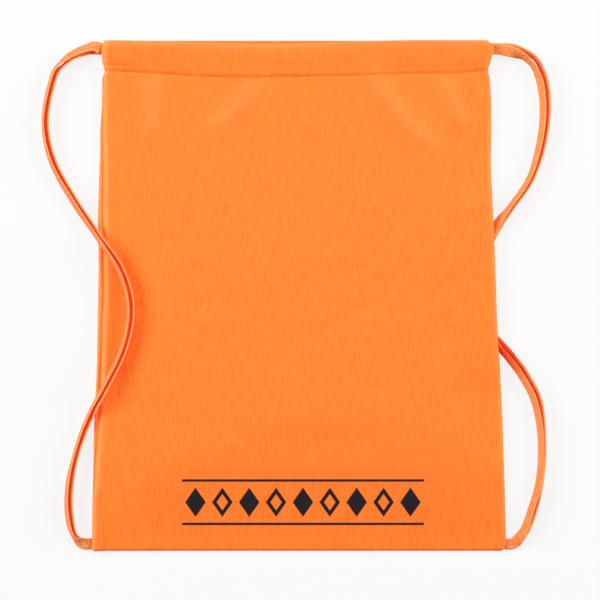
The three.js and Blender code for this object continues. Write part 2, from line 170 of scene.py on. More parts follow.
class Graph:
    """Adds and links the nodes of one material or world."""

    def __init__(self, tree: bpy.types.NodeTree) -> None:
        """Start from an empty node tree."""
        tree.nodes.clear()
        self.tree = tree

    def add(
        self, kind: str, inputs: dict[str, Value] | None = None, **settings: object,
    ) -> bpy.types.Node:
        """Add one node.

        Args:
            kind: the node's type name without its ShaderNode prefix.
            inputs: what each named input takes, a constant or another node's output.
            settings: the node's own settings.

        Returns:
            The new node.
        """
        node = self.tree.nodes.new("ShaderNode" + kind)
        for key, value in settings.items():
            setattr(node, key, value)
        for key, value in (inputs or {}).items():
            self.feed(node.inputs[key], value)
        return node

    def feed(self, socket: bpy.types.NodeSocket, value: Value) -> None:
        """Link an output to a socket, or set its constant.

        Args:
            socket: the input to fill.
            value: a constant or another node's output.
        """
        if isinstance(value, bpy.types.NodeSocket):
            self.tree.links.new(value, socket)
        else:
            socket.default_value = value

    def math(self, operation: str, *values: Value) -> bpy.types.NodeSocket:
        """Add a Math node.

        Args:
            operation: the node's operation.
            values: its one to three inputs.

        Returns:
            The node's output.
        """
        node = self.tree.nodes.new("ShaderNodeMath")
        node.operation = operation
        for socket, value in zip(node.inputs, values):
            self.feed(socket, value)
        return node.outputs[0]

    def plus(self, first: Value, second: Value) -> bpy.types.NodeSocket:
        """The sum of two values."""
        return self.math("ADD", first, second)

    def minus(self, first: Value, second: Value) -> bpy.types.NodeSocket:
        """The first value less the second."""
        return self.math("SUBTRACT", first, second)

    def times(self, first: Value, second: Value) -> bpy.types.NodeSocket:
        """The product of two values."""
        return self.math("MULTIPLY", first, second)

    def object_place(self) -> bpy.types.NodeSocket:
        """The point in the piece's own coordinates, in metres."""
        return self.add("TexCoord").outputs["Object"]

    def uv_place(self) -> tuple[bpy.types.NodeSocket, bpy.types.NodeSocket]:
        """How far the point is along and across the piece's own UV map, in metres."""
        parts = self.split(self.add("UVMap", uv_map="UVMap").outputs["UV"])
        return parts["X"], parts["Y"]

    def rub_highlight(self) -> bpy.types.NodeSocket:
        """How much painted highlight and rubbing the piece carries, from 0 to 1, as its mesh says."""
        return self.add("Attribute", attribute_name="rub_highlight").outputs["Fac"]

    def split(self, vector: Value) -> dict[str, bpy.types.NodeSocket]:
        """A vector's parts by the names of their axes."""
        node = self.add("SeparateXYZ", {"Vector": vector})
        return {axis: node.outputs[axis] for axis in "XYZ"}

    def distance(self, place: Value, point: Sequence[float]) -> bpy.types.NodeSocket:
        """How far a place is from a fixed point.

        Args:
            place: the place, a vector.
            point: the fixed point.

        Returns:
            The distance.
        """
        node = self.add("VectorMath", {"Vector": place}, operation="DISTANCE")
        node.inputs[1].default_value = point
        return node.outputs["Value"]

    def grain(self, vector: Value, scale: float, detail: float = 2.0) -> bpy.types.NodeSocket:
        """Soft noise from about 0 to 1."""
        return self.add("TexNoise", {"Vector": vector, "Scale": scale, "Detail": detail}).outputs["Fac"]

    def stretched(self, vector: Value, scale: Sequence[float]) -> bpy.types.NodeSocket:
        """A vector with its axes scaled."""
        return self.add("Mapping", {"Vector": vector, "Scale": scale}).outputs["Vector"]

    def blend(self, share: Value, low: Value, high: Value) -> bpy.types.NodeSocket:
        """Mix two colours by a share.

        Args:
            share: 0 for low, 1 for high.
            low: a colour.
            high: the other colour.

        Returns:
            The mixed colour.
        """
        node = self.tree.nodes.new("ShaderNodeMix")
        node.data_type = "RGBA"
        for index, value in ((0, share), (6, low), (7, high)):
            self.feed(node.inputs[index], value)
        return node.outputs[2]

    def step(self, value: Value, low: float, high: float) -> bpy.types.NodeSocket:
        """0 below low, 1 above high and a straight slope between."""
        return self.add("MapRange", {"Value": value, "From Min": low, "From Max": high}).outputs["Result"]

    def waves(self, place: Value, pitch: float) -> bpy.types.NodeSocket:
        """A sine along place with the given pitch in metres."""
        return self.math("SINE", self.times(place, 2 * math.pi / pitch))

    def bump(self, height: Value, distance: float, strength: float = 1.0) -> bpy.types.NodeSocket:
        """Turn a height into a normal."""
        values = {"Height": height, "Distance": distance, "Strength": strength}
        return self.add("Bump", values).outputs["Normal"]

    def mixed(self, share: Value, low: bpy.types.Node, high: bpy.types.Node) -> bpy.types.NodeSocket:
        """Mix two shaders by a share.

        Args:
            share: 0 for low, 1 for high.
            low: a shader's node.
            high: the other shader's node.

        Returns:
            The mixed shader.
        """
        node = self.add("MixShader", {"Fac": share})
        self.feed(node.inputs[1], low.outputs[0])
        self.feed(node.inputs[2], high.outputs[0])
        return node.outputs[0]

    def seen_directly(self) -> bpy.types.NodeSocket:
        """1 for camera, glossy and transmission rays.

        Returns:
            1 for such a ray, 0 for any other.
        """
        path = self.add("LightPath").outputs
        glossy = self.math("MAXIMUM", path["Is Glossy Ray"], path["Is Transmission Ray"])
        return self.math("MAXIMUM", path["Is Camera Ray"], glossy)


def shaded(colour: Colour, factor: float) -> Colour:
    """A colour made lighter or darker."""
    return (*(min(1.0, part * factor) for part in colour[:3]), 1.0)


@dataclass(frozen=True)
class Sheen:
    """The soft shine of short fibres: weight, roughness and colour."""

    weight: float = 0.34
    roughness: float = 0.34
    tint: Colour = (1.0, 0.66, 0.34, 1.0)

    def apply(self, shader: bpy.types.Node) -> None:
        """Set the shader's own sheen sockets.

        Args:
            shader: the shader to set.
        """
        shader.inputs["Sheen Weight"].default_value = self.weight
        shader.inputs["Sheen Roughness"].default_value = self.roughness
        shader.inputs["Sheen Tint"].default_value = self.tint


@dataclass(frozen=True)
class Glow:
    """A painted red glow, not a lamp, that keeps the fabric red in its shade, in place of a fluorescent
    dye's light.
    """

    colour: Colour = (1.0, 0.03, 0.0, 1.0)
    strength: float = 0.28

    def apply(self, shader: bpy.types.Node) -> None:
        """Set the shader's own emission sockets."""
        shader.inputs["Emission Color"].default_value = self.colour
        shader.inputs["Emission Strength"].default_value = self.strength


@dataclass(frozen=True)
class Finish:
    """What every fabric's finish has: a name, a specular level, a sheen and a painted glow."""

    name: str = "fabric"
    specular: float = 0.5
    sheen: Sheen = Sheen()
    glow: Glow = Glow()

    def build(self) -> bpy.types.Material:
        """Make the material.

        Returns:
            The material, with the finish's looks on its shader.
        """
        material = bpy.data.materials.new(self.name)
        material.use_nodes = True
        graph = Graph(material.node_tree)
        shader = graph.add("BsdfPrincipled", {"Specular IOR Level": self.specular})
        self.sheen.apply(shader)
        # Painted glow: a constant red emission, though the fabric is no lamp.
        self.glow.apply(shader)
        for socket, value in self.looks(graph).items():
            graph.feed(shader.inputs[socket], value)
        graph.add("OutputMaterial", {"Surface": shader.outputs[0]})
        return material

    def looks(self, graph: Graph) -> dict[str, Value]:
        """What the shader's sockets take."""
        raise NotImplementedError


@dataclass(frozen=True)
class Print:
    """A band printed on the cloth: a row of lozenges, every other one hollow, between two stripes."""

    centre: tuple[float, float] = (0.004, -0.1846)
    half_size: tuple[float, float] = (0.108, 0.0206)
    stripe: float = 0.0022
    pitch: float = 0.024
    lozenge: tuple[float, float] = (0.0092, 0.0132)
    hollow_share: float = 0.56
    edge: float = 0.00018
    ink: Colour = (0.0050, 0.0015, 0.0035, 1.0)
    smoothness: float = 0.12
    thickness: float = 0.6

    def mask(self, graph: Graph, place: bpy.types.NodeSocket) -> bpy.types.NodeSocket:
        """Where the ink lies.

        Args:
            graph: the material's graph.
            place: the point in object coordinates.

        Returns:
            1 on the ink, 0 on bare cloth.
        """
        parts = graph.split(place)
        x = graph.minus(parts["X"], self.centre[0])
        y = graph.math("ABSOLUTE", graph.minus(parts["Y"], self.centre[1]))
        inside = self.under(graph, graph.math("ABSOLUTE", x), self.half_size[0])
        within = graph.times(inside, graph.math("GREATER_THAN", parts["Z"], 0.0))
        between = self.under(graph, y, self.half_size[1] - self.stripe)
        stripes = graph.times(self.under(graph, y, self.half_size[1]), graph.minus(1.0, between))
        cell = graph.plus(graph.math("DIVIDE", x, self.pitch), self.half_size[0] / self.pitch)
        offset = graph.minus(graph.math("FRACT", cell), 0.5)
        along = graph.times(graph.math("ABSOLUTE", offset), self.pitch / self.lozenge[0])
        radius = graph.plus(along, graph.math("DIVIDE", y, self.lozenge[1]))
        soft = self.edge / self.lozenge[0]
        full = graph.minus(1.0, graph.step(radius, 1 - soft, 1 + soft))
        hole = graph.minus(1.0, graph.step(radius, self.hollow_share - soft, self.hollow_share + soft))
        odd = graph.math("FLOORED_MODULO", graph.math("FLOOR", cell), 2.0)
        shapes = graph.minus(full, graph.times(hole, odd))
        return graph.times(within, graph.math("MAXIMUM", stripes, shapes))

    def under(self, graph: Graph, value: Value, limit: float) -> bpy.types.NodeSocket:
        """1 where value is under limit, with a short soft edge."""
        return graph.minus(1.0, graph.step(value, limit - self.edge, limit + self.edge))


@dataclass(frozen=True)
class ClothFinish(Finish):
    """Light plain-woven polyester: faint upright slubs, a fine weave and a soft sheen.

    It is a little darker towards the bottom, below an arc, and over the hem: painted shade, over the
    hem partly the doubled cloth's own deeper tone. Where its mesh marks it, it is paler: a painted
    highlight, partly rubbing.
    """

    name: str = "sack_cloth"
    specular: float = 0.17
    colour: Colour = (1.0, 0.262, 0.033, 1.0)
    light: float = 1.03
    pale_rub_highlight: Colour = (1.0, 0.48, 0.15, 1.0)
    rub_highlight_share: float = 0.64
    rub_highlight_grain: float = 420.0
    rub_highlight_range: tuple[float, float] = (-0.6, 0.75)
    bottom_shade_from: tuple[float, float] = (-0.128, -0.100)
    bottom_shade_arc: tuple[float, float] = (0.03, 2.0)
    painted_shade_share: float = 0.10
    hem_shade_from: tuple[float, float] = (0.2028, 0.2068)
    hem_shade_share: float = 0.09
    roughness: float = 0.62
    slub_roughness: float = 0.08
    slub_scale: tuple[float, float, float] = (760.0, 85.0, 85.0)
    slub_range: tuple[float, float] = (0.30, 0.56)
    slub_depth: float = 0.24
    slub_height: float = 0.9
    mottle_scale: float = 16.0
    mottle_range: tuple[float, float] = (0.3, 0.7)
    mottle_share: float = 0.35
    mottle_depth: float = 0.05
    thread_pitch: float = 0.00052
    weft_ratio: float = 1.15
    thread_height: float = 0.5
    weave_height: float = 0.00006
    band: Print | None = None

    def looks(self, graph: Graph) -> dict[str, Value]:
        """The cloth's colour, roughness and relief, and its printed band where it has one.

        Args:
            graph: the material's graph.

        Returns:
            What the shader's sockets take.
        """
        place = graph.object_place()
        slub = graph.step(graph.grain(graph.stretched(place, self.slub_scale), 1.0), *self.slub_range)
        # Painted highlight, partly rubbing: paler in patches where the mesh marks it.
        patches = graph.step(graph.grain(place, self.rub_highlight_grain, 3.0), *self.rub_highlight_range)
        pale_rub_highlight = graph.times(graph.times(graph.rub_highlight(), patches), self.rub_highlight_share)
        colour = graph.blend(pale_rub_highlight, self.dyed_and_shaded(graph, place, slub), self.pale_rub_highlight)
        roughness = graph.plus(self.roughness, graph.times(graph.minus(slub, 0.5), self.slub_roughness))
        threads = graph.times(self.weave(graph, place), self.thread_height)
        height = graph.plus(threads, graph.times(slub, self.slub_height))
        printed = {}
        if self.band:
            ink = self.band.mask(graph, place)
            colour = graph.blend(ink, colour, self.band.ink)
            roughness = graph.minus(roughness, graph.times(ink, self.band.smoothness))
            height = graph.plus(height, graph.times(ink, self.band.thickness))
            # The painted glow is left off the ink.
            printed = {"Emission Color": graph.blend(ink, self.glow.colour, BLACK)}
        normal = graph.bump(height, self.weave_height)
        return {"Base Color": colour, "Roughness": roughness, "Normal": normal, **printed}

    def dyed_and_shaded(self, graph: Graph, place: Value, slub: Value) -> bpy.types.NodeSocket:
        """The cloth's dyed colour with its painted shade, before the painted highlight and rubbing.

        Args:
            graph: the material's graph.
            place: the point in object coordinates.
            slub: 0 to 1, how thick the thread is.

        Returns:
            The colour.
        """
        parts = graph.split(place)
        mottle = graph.step(graph.grain(place, self.mottle_scale, 3.0), *self.mottle_range)
        dark, light = shaded(self.colour, 1 - self.slub_depth), shaded(self.colour, self.light)
        mottled = shaded(self.colour, 1 - self.mottle_depth)
        colour = graph.blend(slub, dark, light)
        colour = graph.blend(graph.times(mottle, self.mottle_share), colour, mottled)
        # Painted shade: darker towards the bottom, below an arc.
        aside = graph.minus(parts["X"], self.bottom_shade_arc[0])
        arc = graph.times(graph.times(aside, aside), self.bottom_shade_arc[1])
        above = graph.step(graph.plus(parts["Y"], arc), *self.bottom_shade_from)
        painted_shade = graph.times(graph.minus(1.0, above), self.painted_shade_share)
        # Painted shade over the hem, partly the doubled cloth's own deeper tone.
        hem_shade = graph.times(graph.step(parts["Y"], *self.hem_shade_from), self.hem_shade_share)
        return graph.blend(graph.plus(painted_shade, hem_shade), colour, BLACK)

    def weave(self, graph: Graph, place: Value) -> bpy.types.NodeSocket:
        """The crossing threads' relief.

        Args:
            graph: the material's graph.
            place: the point in object coordinates.

        Returns:
            The relief, from -1 to 1.
        """
        parts = graph.split(place)
        weft = graph.waves(parts["Y"], self.thread_pitch * self.weft_ratio)
        return graph.times(graph.waves(parts["X"], self.thread_pitch), weft)


@dataclass(frozen=True)
class TapeFinish(Finish):
    """Flat braided drawcord tape: slanted strands that cross and follow its UV, which is in metres.

    It carries a painted shadow where it comes out from under the sack, painted shade in the grooves
    between its strands and a painted highlight along its edges.
    """

    name: str = "drawcord_tape"
    specular: float = 0.17
    sheen: Sheen = Sheen(weight=0.4, roughness=0.4)
    glow: Glow = Glow(strength=0.2)
    colour: Colour = (1.0, 0.250, 0.036, 1.0)
    pale: Colour = (1.0, 0.48, 0.16, 1.0)
    pale_rub_highlight: Colour = (1.0, 0.58, 0.24, 1.0)
    rub_highlight_share: float = 0.8
    shade_red: Colour = (0.94, 0.095, 0.008, 1.0)
    groove_shade_range: tuple[float, float] = (-0.1, 0.75)
    roughness: float = 0.78
    strand_pitch: float = 0.0031
    thread_pitch: float = 0.00046
    thread_slant: float = 0.4
    thread_height: float = 0.3
    strand_height: float = 0.00022
    speckle: float = 0.62
    speckle_grain: float = 780.0
    speckle_range: tuple[float, float] = (0.40, 0.60)
    uneven_grain: float = 240.0
    uneven_range: tuple[float, float] = (0.3, 0.7)
    uneven_share: float = 0.3
    sack_shadow_at: tuple[float, float, float] = (0.187, -0.050, 0.0)
    sack_shadow_reach: tuple[float, float] = (0.010, 0.030)
    painted_shade_share: float = 0.85

    def looks(self, graph: Graph) -> dict[str, Value]:
        """The tape's colour, roughness and relief.

        Args:
            graph: the material's graph.

        Returns:
            What the shader's sockets take.
        """
        along, across = graph.uv_place()
        right = graph.waves(graph.plus(along, across), self.strand_pitch)
        left = graph.waves(graph.minus(along, across), self.strand_pitch)
        ribs = graph.math("MAXIMUM", right, left)
        slant = graph.plus(along, graph.times(across, self.thread_slant))
        threads = graph.times(graph.waves(slant, self.thread_pitch), self.thread_height)
        place = graph.object_place()
        # Painted shade: darker red in the grooves between the strands.
        colour = graph.blend(graph.step(ribs, *self.groove_shade_range), self.shade_red, self.colour)
        fine = graph.step(graph.grain(place, self.speckle_grain, 1.0), *self.speckle_range)
        colour = graph.blend(graph.times(fine, self.speckle), self.pale, colour)
        uneven = graph.step(graph.grain(place, self.uneven_grain), *self.uneven_range)
        colour = graph.blend(graph.times(uneven, self.uneven_share), colour, self.shade_red)
        # Painted highlight: paler along the tape's edges, where its mesh marks it.
        colour = graph.blend(graph.times(graph.rub_highlight(), self.rub_highlight_share), colour, self.pale_rub_highlight)
        # Painted shadow: darker where the tape comes out from under the sack.
        unshaded = graph.step(graph.distance(place, self.sack_shadow_at), *self.sack_shadow_reach)
        painted_shade = graph.times(graph.minus(1.0, unshaded), self.painted_shade_share)
        colour = graph.blend(painted_shade, colour, self.shade_red)
        normal = graph.bump(graph.plus(ribs, threads), self.strand_height)
        return {"Base Color": colour, "Roughness": self.roughness, "Normal": normal}


@dataclass(frozen=True)
class OverlockFinish(Finish):
    """Cut cloth edges under overlocking thread: loops across the strip, read from its UV in metres."""

    name: str = "seam_allowance"
    sheen: Sheen = Sheen(weight=0.2)
    colour: Colour = (0.80, 0.195, 0.024, 1.0)
    thread: Colour = (0.95, 0.33, 0.08, 1.0)
    loop_pitch: float = 0.0021
    loop_slant: float = 0.35
    covered: float = 0.0052
    needle: float = 0.0005
    fuzz_grain: float = 900.0
    fuzz_share: float = 0.3
    fuzz_light: float = 1.15
    fuzz_height: float = 0.4
    thread_height: float = 0.0002
    roughness: float = 0.8

    def looks(self, graph: Graph) -> dict[str, Value]:
        """The strip's colour, roughness and relief.

        Args:
            graph: the material's graph.

        Returns:
            What the shader's sockets take.
        """
        along, across = graph.uv_place()
        slant = graph.plus(along, graph.times(across, self.loop_slant))
        loops = graph.step(graph.waves(slant, self.loop_pitch), 0.0, 0.5)
        needle = graph.math("COMPARE", across, self.covered, self.needle)
        under = graph.math("LESS_THAN", across, self.covered)
        thread = graph.math("MAXIMUM", graph.times(loops, under), needle)
        fuzz = graph.grain(graph.object_place(), self.fuzz_grain, 3.0)
        colour = graph.blend(thread, self.colour, self.thread)
        light = shaded(self.colour, self.fuzz_light)
        colour = graph.blend(graph.times(fuzz, self.fuzz_share), colour, light)
        height = graph.plus(thread, graph.times(fuzz, self.fuzz_height))
        normal = graph.bump(height, self.thread_height)
        return {"Base Color": colour, "Roughness": self.roughness, "Normal": normal}


@dataclass(frozen=True)
class ThreadFinish(Finish):
    """Sewing thread a little deeper in colour than the cloth, with its ply in painted shade and
    highlight.
    """

    name: str = "sewing_thread"
    sheen: Sheen = Sheen(weight=0.25)
    colour: Colour = (0.90, 0.19, 0.025, 1.0)
    ply_shade_and_highlight: tuple[float, float] = (0.85, 1.1)
    ply_pitch: float = 0.0007
    ply_slant: float = 0.8
    ply_height: float = 0.00008
    roughness: float = 0.55

    def looks(self, graph: Graph) -> dict[str, Value]:
        """The thread's colour, roughness and relief.

        Args:
            graph: the material's graph.

        Returns:
            What the shader's sockets take.
        """
        parts = graph.split(graph.object_place())
        slant = graph.plus(parts["X"], graph.times(parts["Y"], self.ply_slant))
        ply = graph.waves(slant, self.ply_pitch)
        # Painted shade and highlight: darker in the ply's grooves, lighter on its ridges.
        dark, light = (shaded(self.colour, factor) for factor in self.ply_shade_and_highlight)
        colour = graph.blend(graph.step(ply, -1.0, 1.0), dark, light)
        normal = graph.bump(ply, self.ply_height)
        return {"Base Color": colour, "Roughness": self.roughness, "Normal": normal}


# Shape of the sack

@dataclass(frozen=True)
class SackShape:
    """Outline and heights of the laid-flat sack, the same as the CAD's."""

    length: float = 0.457
    base_width: float = 0.369
    mouth_left: float = 0.1757
    mouth_right: float = 0.1712
    left_flare_power: float = 0.9
    right_flare_power: float = 1.35
    left_corner: float = 0.0015
    right_corner: float = 0.0045
    notch_depth: float = 0.0025
    notch_run: float = 0.007
    rim_height: float = 0.0049
    body_height: float = 0.010
    hem_end_height: float = 0.0101
    crown_height: float = 0.0148
    hem_thickness: float = 0.0049
    hem_run: float = 0.024
    tunnel_depth: float = 0.0215
    tunnel_taper: float = 0.0025
    stitched_band: float = 0.005
    side_run: float = 0.080
    bottom_run: float = 0.080
    closing_share: float = 0.36
    strap_lift: float = 0.0039
    lift_top: float = 0.072
    lift_bottom: float = -0.055
    lift_fade: float = 0.040
    lift_depth: float = 0.060
    lift_ramp: float = 0.039
    anchor_rise: float = 0.0064
    turn_room: float = 0.00425

    @property
    def top(self) -> float:
        """Height of the hem's upper edge."""
        return self.length / 2

    @property
    def bottom(self) -> float:
        """Height of the bottom edge."""
        return -self.length / 2

    @property
    def hem_radius(self) -> float:
        """Radius of the hem's fold."""
        return self.hem_thickness / 2

    @property
    def tunnel_top(self) -> float:
        """Height of the centre of the hem's fold."""
        return self.top - self.hem_radius

    @property
    def tunnel_floor(self) -> float:
        """Height of the tunnel's floor."""
        return self.tunnel_top - self.tunnel_depth

    @property
    def tunnel_end(self) -> float:
        """Height at which the two layers of the hem meet."""
        return self.tunnel_floor - self.tunnel_taper

    @property
    def band_end(self) -> float:
        """Height at which the turned-in cloth ends."""
        return self.tunnel_end - self.stitched_band

    @property
    def anchor_lane(self) -> float:
        """Height of the straps' sewn-in ends."""
        return self.bottom + self.anchor_rise

    def edge(self, side: Side, y: float) -> float:
        """X of a side edge at height y.

        Args:
            side: the edge's side.
            y: the height.

        Returns:
            The edge's X.
        """
        mouth = self.mouth_left if side is Side.LEFT else self.mouth_right
        power = self.left_flare_power if side is Side.LEFT else self.right_flare_power
        share = min(1.0, max(0.0, (self.top - y) / self.length))
        notch = self.notch_depth * (1 - smooth(abs(y - self.tunnel_end) / self.notch_run))
        return side.value * (mouth + (self.base_width / 2 - mouth) * share**power - notch)

    def lift(self, x: float, y: float) -> float:
        """How far the sack is raised where its right edge lies over the straps.

        Args:
            x: the place across the sack.
            y: the place along it.

        Returns:
            The rise.
        """
        inward = smooth((x - self.edge(Side.RIGHT, y) + self.lift_depth) / self.lift_ramp)
        above = smooth((self.lift_top + self.lift_fade - y) / self.lift_fade)
        below = smooth((y - self.lift_bottom + self.lift_fade) / self.lift_fade)
        return self.strap_lift * inward * above * below

    def hem_height(self, x: float) -> float:
        """Height of the front hem's upper side.

        Args:
            x: the place across the sack.

        Returns:
            The height.
        """
        from_left = (x + self.mouth_left) / self.mouth_left
        from_right = (self.mouth_right - x) / self.mouth_right
        rise = smooth(min(from_left, from_right) / self.closing_share)
        return lerp(self.hem_end_height, self.crown_height, rise)

    def body_top(self, x: float, y: float) -> float:
        """Height of the front panel's outer face below the hem.

        Args:
            x: the place across the sack.
            y: the place along it.

        Returns:
            The height.
        """
        from_side = min(x - self.edge(Side.LEFT, y), self.edge(Side.RIGHT, y) - x)
        rise = smooth(from_side / self.side_run) * smooth((y - self.bottom) / self.bottom_run)
        return lerp(self.rim_height + self.lift(x, y), self.body_height, rise)

    def front_top(self, x: float, y: float) -> float:
        """Height of the front panel's outer face, the hem with it."""
        hem = smooth((y - self.tunnel_floor) / self.hem_run + 1)
        return lerp(self.body_top(x, y), self.hem_height(x), hem)

    def corner_rise(self, x: float) -> float:
        """How far the bottom edge is rounded up at x.

        Args:
            x: the place across the sack.

        Returns:
            The distance along Y.
        """
        radius = self.left_corner if x < 0 else self.right_corner
        past = max(0.0, abs(x) - self.base_width / 2 + radius)
        return radius - math.sqrt(max(0.0, radius * radius - past * past))


@dataclass(frozen=True)
class Fold:
    """A soft crease or roll in the cloth, from start to end, raised or sunk by its height."""

    start: tuple[float, float]
    end: tuple[float, float]
    height: float
    reach: float
    bow: float = 0.0
    overrun: float = 0.4
    fade: float = 0.55

    def rise(self, x: float, y: float) -> float:
        """Height that the fold adds at a point.

        Args:
            x: the point's place across the sack.
            y: its place along it.

        Returns:
            The fold's height there, less than 0 in a crease.
        """
        run = (self.end[0] - self.start[0], self.end[1] - self.start[1])
        length = math.hypot(*run)
        away = (x - self.start[0], y - self.start[1])
        share = (away[0] * run[0] + away[1] * run[1]) / length**2
        if not -self.overrun < share < 1 + self.overrun:
            return 0.0
        offset = (away[0] * run[1] - away[1] * run[0]) / length
        offset -= self.bow * 4 * share * (1 - share)
        ends = (share + self.overrun, 1 + self.overrun - share)
        taper = math.prod(smooth(end / self.fade) for end in ends)
        return self.height * bell(offset, self.reach) * taper


def finished(
    mesh: bmesh.types.BMesh, name: str, material: bpy.types.Material,
    nodes: Sequence[str] = (),
) -> bpy.types.Object:
    """Turn a bmesh into a finished piece on its body, with its material, hiding the CAD nodes it stands
    for.

    Args:
        mesh: the piece's shape, in place.
        name: the piece's name.
        material: what it is made of.
        nodes: the CAD nodes that it stands for.

    Returns:
        The object, riding on the sack.
    """
    data = bpy.data.meshes.new(name)
    mesh.to_mesh(data)
    mesh.free()
    data.polygons.foreach_set("use_smooth", [True] * len(data.polygons))
    data.materials.append(material)
    piece = bpy.data.objects.new(name, data)
    bpy.context.scene.collection.objects.link(piece)
    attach(piece, "root")
    if nodes:
        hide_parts(*nodes)
    log.info("%s: %d faces", name, len(data.polygons))
    return piece


def thicken(piece: bpy.types.Object, thickness: float, offset: float) -> None:
    """Give a sheet its thickness, inwards at an offset of -1 and to both sides at 0."""
    wall = piece.modifiers.new("cloth", "SOLIDIFY")
    wall.thickness, wall.offset = thickness, offset


def grid(columns: int, rows: int) -> tuple[bmesh.types.BMesh, Indexer]:
    """A flat grid of faces that the builders bend into shape.

    Args:
        columns: how many points it has along X.
        rows: how many points it has along Y.

    Returns:
        The bmesh and a function from a vertex to its column and row.
    """
    mesh = bmesh.new()
    bmesh.ops.create_grid(mesh, x_segments=columns - 1, y_segments=rows - 1, size=1.0)

    def index(vert: bmesh.types.BMVert) -> tuple[int, int]:
        """The column and row of a vertex of the flat grid."""
        return round((vert.co.x + 1) / 2 * (columns - 1)), round((vert.co.y + 1) / 2 * (rows - 1))

    return mesh, index


# Cloth

@dataclass
class Panel:
    """One cloth panel: up the sack from the bottom seam, over the hem's fold and down inside it."""

    shape: SackShape
    face: Face
    folds: tuple[Fold, ...] = ()
    cloth: float = 0.00035
    edge_radius: float = 0.00245
    open_edge: float = 0.0008
    flat_rim: float = 0.004
    taper_stretch: float = 1.6
    tucked_from: float = 0.25
    seam_dip: float = 0.0004
    seam_reach: float = 0.0005
    bottom_dip_share: float = 0.5
    stitch_rows: tuple[float, float] = (0.2056, 0.2002)
    full_crease: float = 0.0026
    # Painted highlight on the fold crests.
    crease_highlight: float = 0.23
    upper_dips: Table = in_mm((-175, 0.8), (-158, 0.8), (-146, 0.2), (164, 0.2), (172, 0.4))
    row_dip: float = 0.00055
    row_reach: tuple[float, float] = (0.0010, 0.0009)
    puckers: Table = ((0.10, 0.0071), (0.06, 0.0032))
    pad_rise: float = 0.0005
    pad_reach: float = 0.0021
    fold_flatness: float = 0.8
    ridge: tuple[float, float] = (0.0015, 0.0005)
    ridge_crest: float = 0.0036
    ridge_fall: float = 0.014
    hem_share: Table = (
        (0.105, 0.0), (0.140, 0.06), (0.170, 0.26), (0.190, 0.40), (0.1975, 0.46), (0.2015, 0.58),
        (0.2055, 0.88), (0.211, 1.04), (0.217, 1.12), (0.2265, 1.05),
    )
    brim_dips: Table = in_mm(
        (-176, 0), (-142, 0.6), (-115, 1.4), (-88, 2.7), (-52, 3.4), (-16.5, 3.7), (19, 2.9),
        (55, 1.5), (91, 0.5), (130, 0.2), (171, 0),
    )
    row_dips: Table = in_mm(
        (-176, 0), (-142, 1.5), (-115, 3.3), (-88, 5.1), (-50, 5.9), (10, 5.1), (55, 4.2), (91, 2.9),
        (118, 2.4), (144, 1.9), (162, -0.3), (171, 0),
    )
    dip_start: float = 0.140
    waves_from: tuple[float, float] = (0.195, 0.205)
    hem_waves: Table = in_mm(
        (-176, -0.2), (-171, 0.9), (-160, 0), (-142, 0.6), (-118, -0.2), (-88, -0.4), (-60, 0.2),
        (-18, 0.8), (20, -0.1), (60, -0.5), (120, -0.5), (150, -0.2), (171, 1.1),
    )
    left_trim: Table = in_mm(
        (-228.5, -0.4), (-186, -0.8), (-160, -0.3), (-122, 0), (-98, 0.6), (-66, 1.4), (-50, 1.7),
        (-26, 1.6), (2, 2), (16, 1.8), (41, 1), (76, 0), (103, 0.4), (130, 0.7), (148, 0.4),
        (180, 1.6), (194.4, 2.5), (199.8, 1.2), (202.5, 0.3), (207, 1.1), (214.1, 0.6), (220, 0.4),
        (226.3, 2.2),
    )
    right_trim: Table = in_mm(
        (-228.5, -1.6), (-208, -1.9), (-165, -2.4), (-111, -2.6), (-71, -1.9), (-40, -0.9),
        (-13, -0.5), (30, -0.4), (60, 0), (90, 0.5), (117, 0.9), (143, 0), (170, -0.6), (184, -0.2),
        (192.5, 0.2), (197.1, 0.5), (201.6, -0.4), (205.2, -0.2), (207.9, 0), (212.5, -1), (216, -2.7),
        (222.5, -3.1), (227.5, 1.8),
    )
    hem_gap: tuple[float, float] = (0.196, 0.203)
    parting: float = 0.0015
    parting_reach: float = 0.0038
    parting_start: float = 1.9
    ripple: float = 0.00028
    broad: tuple[float, float] = (21.0, 15.0)
    fine: tuple[float, float] = (75.0, 48.0)
    fine_share: float = 0.28
    calm_edge: float = 0.012
    corner_reach: float = 0.012
    # Paler bands: painted highlight, partly rubbing, near the side seams (stronger on the left) and at
    # the brim; rubbing along the bottom seam.
    seam_rub_highlight: tuple[float, float] = (0.0028, 0.0026)
    seam_rub_highlight_shares: tuple[float, float] = (1.0, 0.4)
    bottom_rub: tuple[float, float] = (0.3, 0.0016)
    brim_rub_highlight: tuple[float, float] = (0.45, 0.003)
    roll: Table = in_mm(
        (-183, 0), (-160, 1.2), (-120, 2.8), (-80, 3.4), (-30, 3.4), (0, 4), (50, 4), (103, 3.1),
        (148, 1.3), (192, 0),
    )

    @property
    def quarter(self) -> float:
        """Length of the cloth from a seam to the top of its turned edge."""
        return self.edge_radius * math.pi / 2

    @property
    def fold_start(self) -> float:
        """Run along the cloth at which the hem's fold begins."""
        return self.quarter + self.shape.tunnel_top - self.shape.bottom - self.edge_radius

    @property
    def fold_end(self) -> float:
        """Run along the cloth at which the hem's fold ends."""
        return self.fold_start + math.pi * self.shape.hem_radius

    def edge(self, side: Side, y: float) -> float:
        """X of the cloth's side edge at height y, pinched by the stitching."""
        trim = self.left_trim if side is Side.LEFT else self.right_trim
        return self.shape.edge(side, y) - side.value * table_value(trim, y)

    def run_of(self, y: float) -> float:
        """Run along the cloth's outer side at height y."""
        return y - self.shape.bottom - self.edge_radius + self.quarter

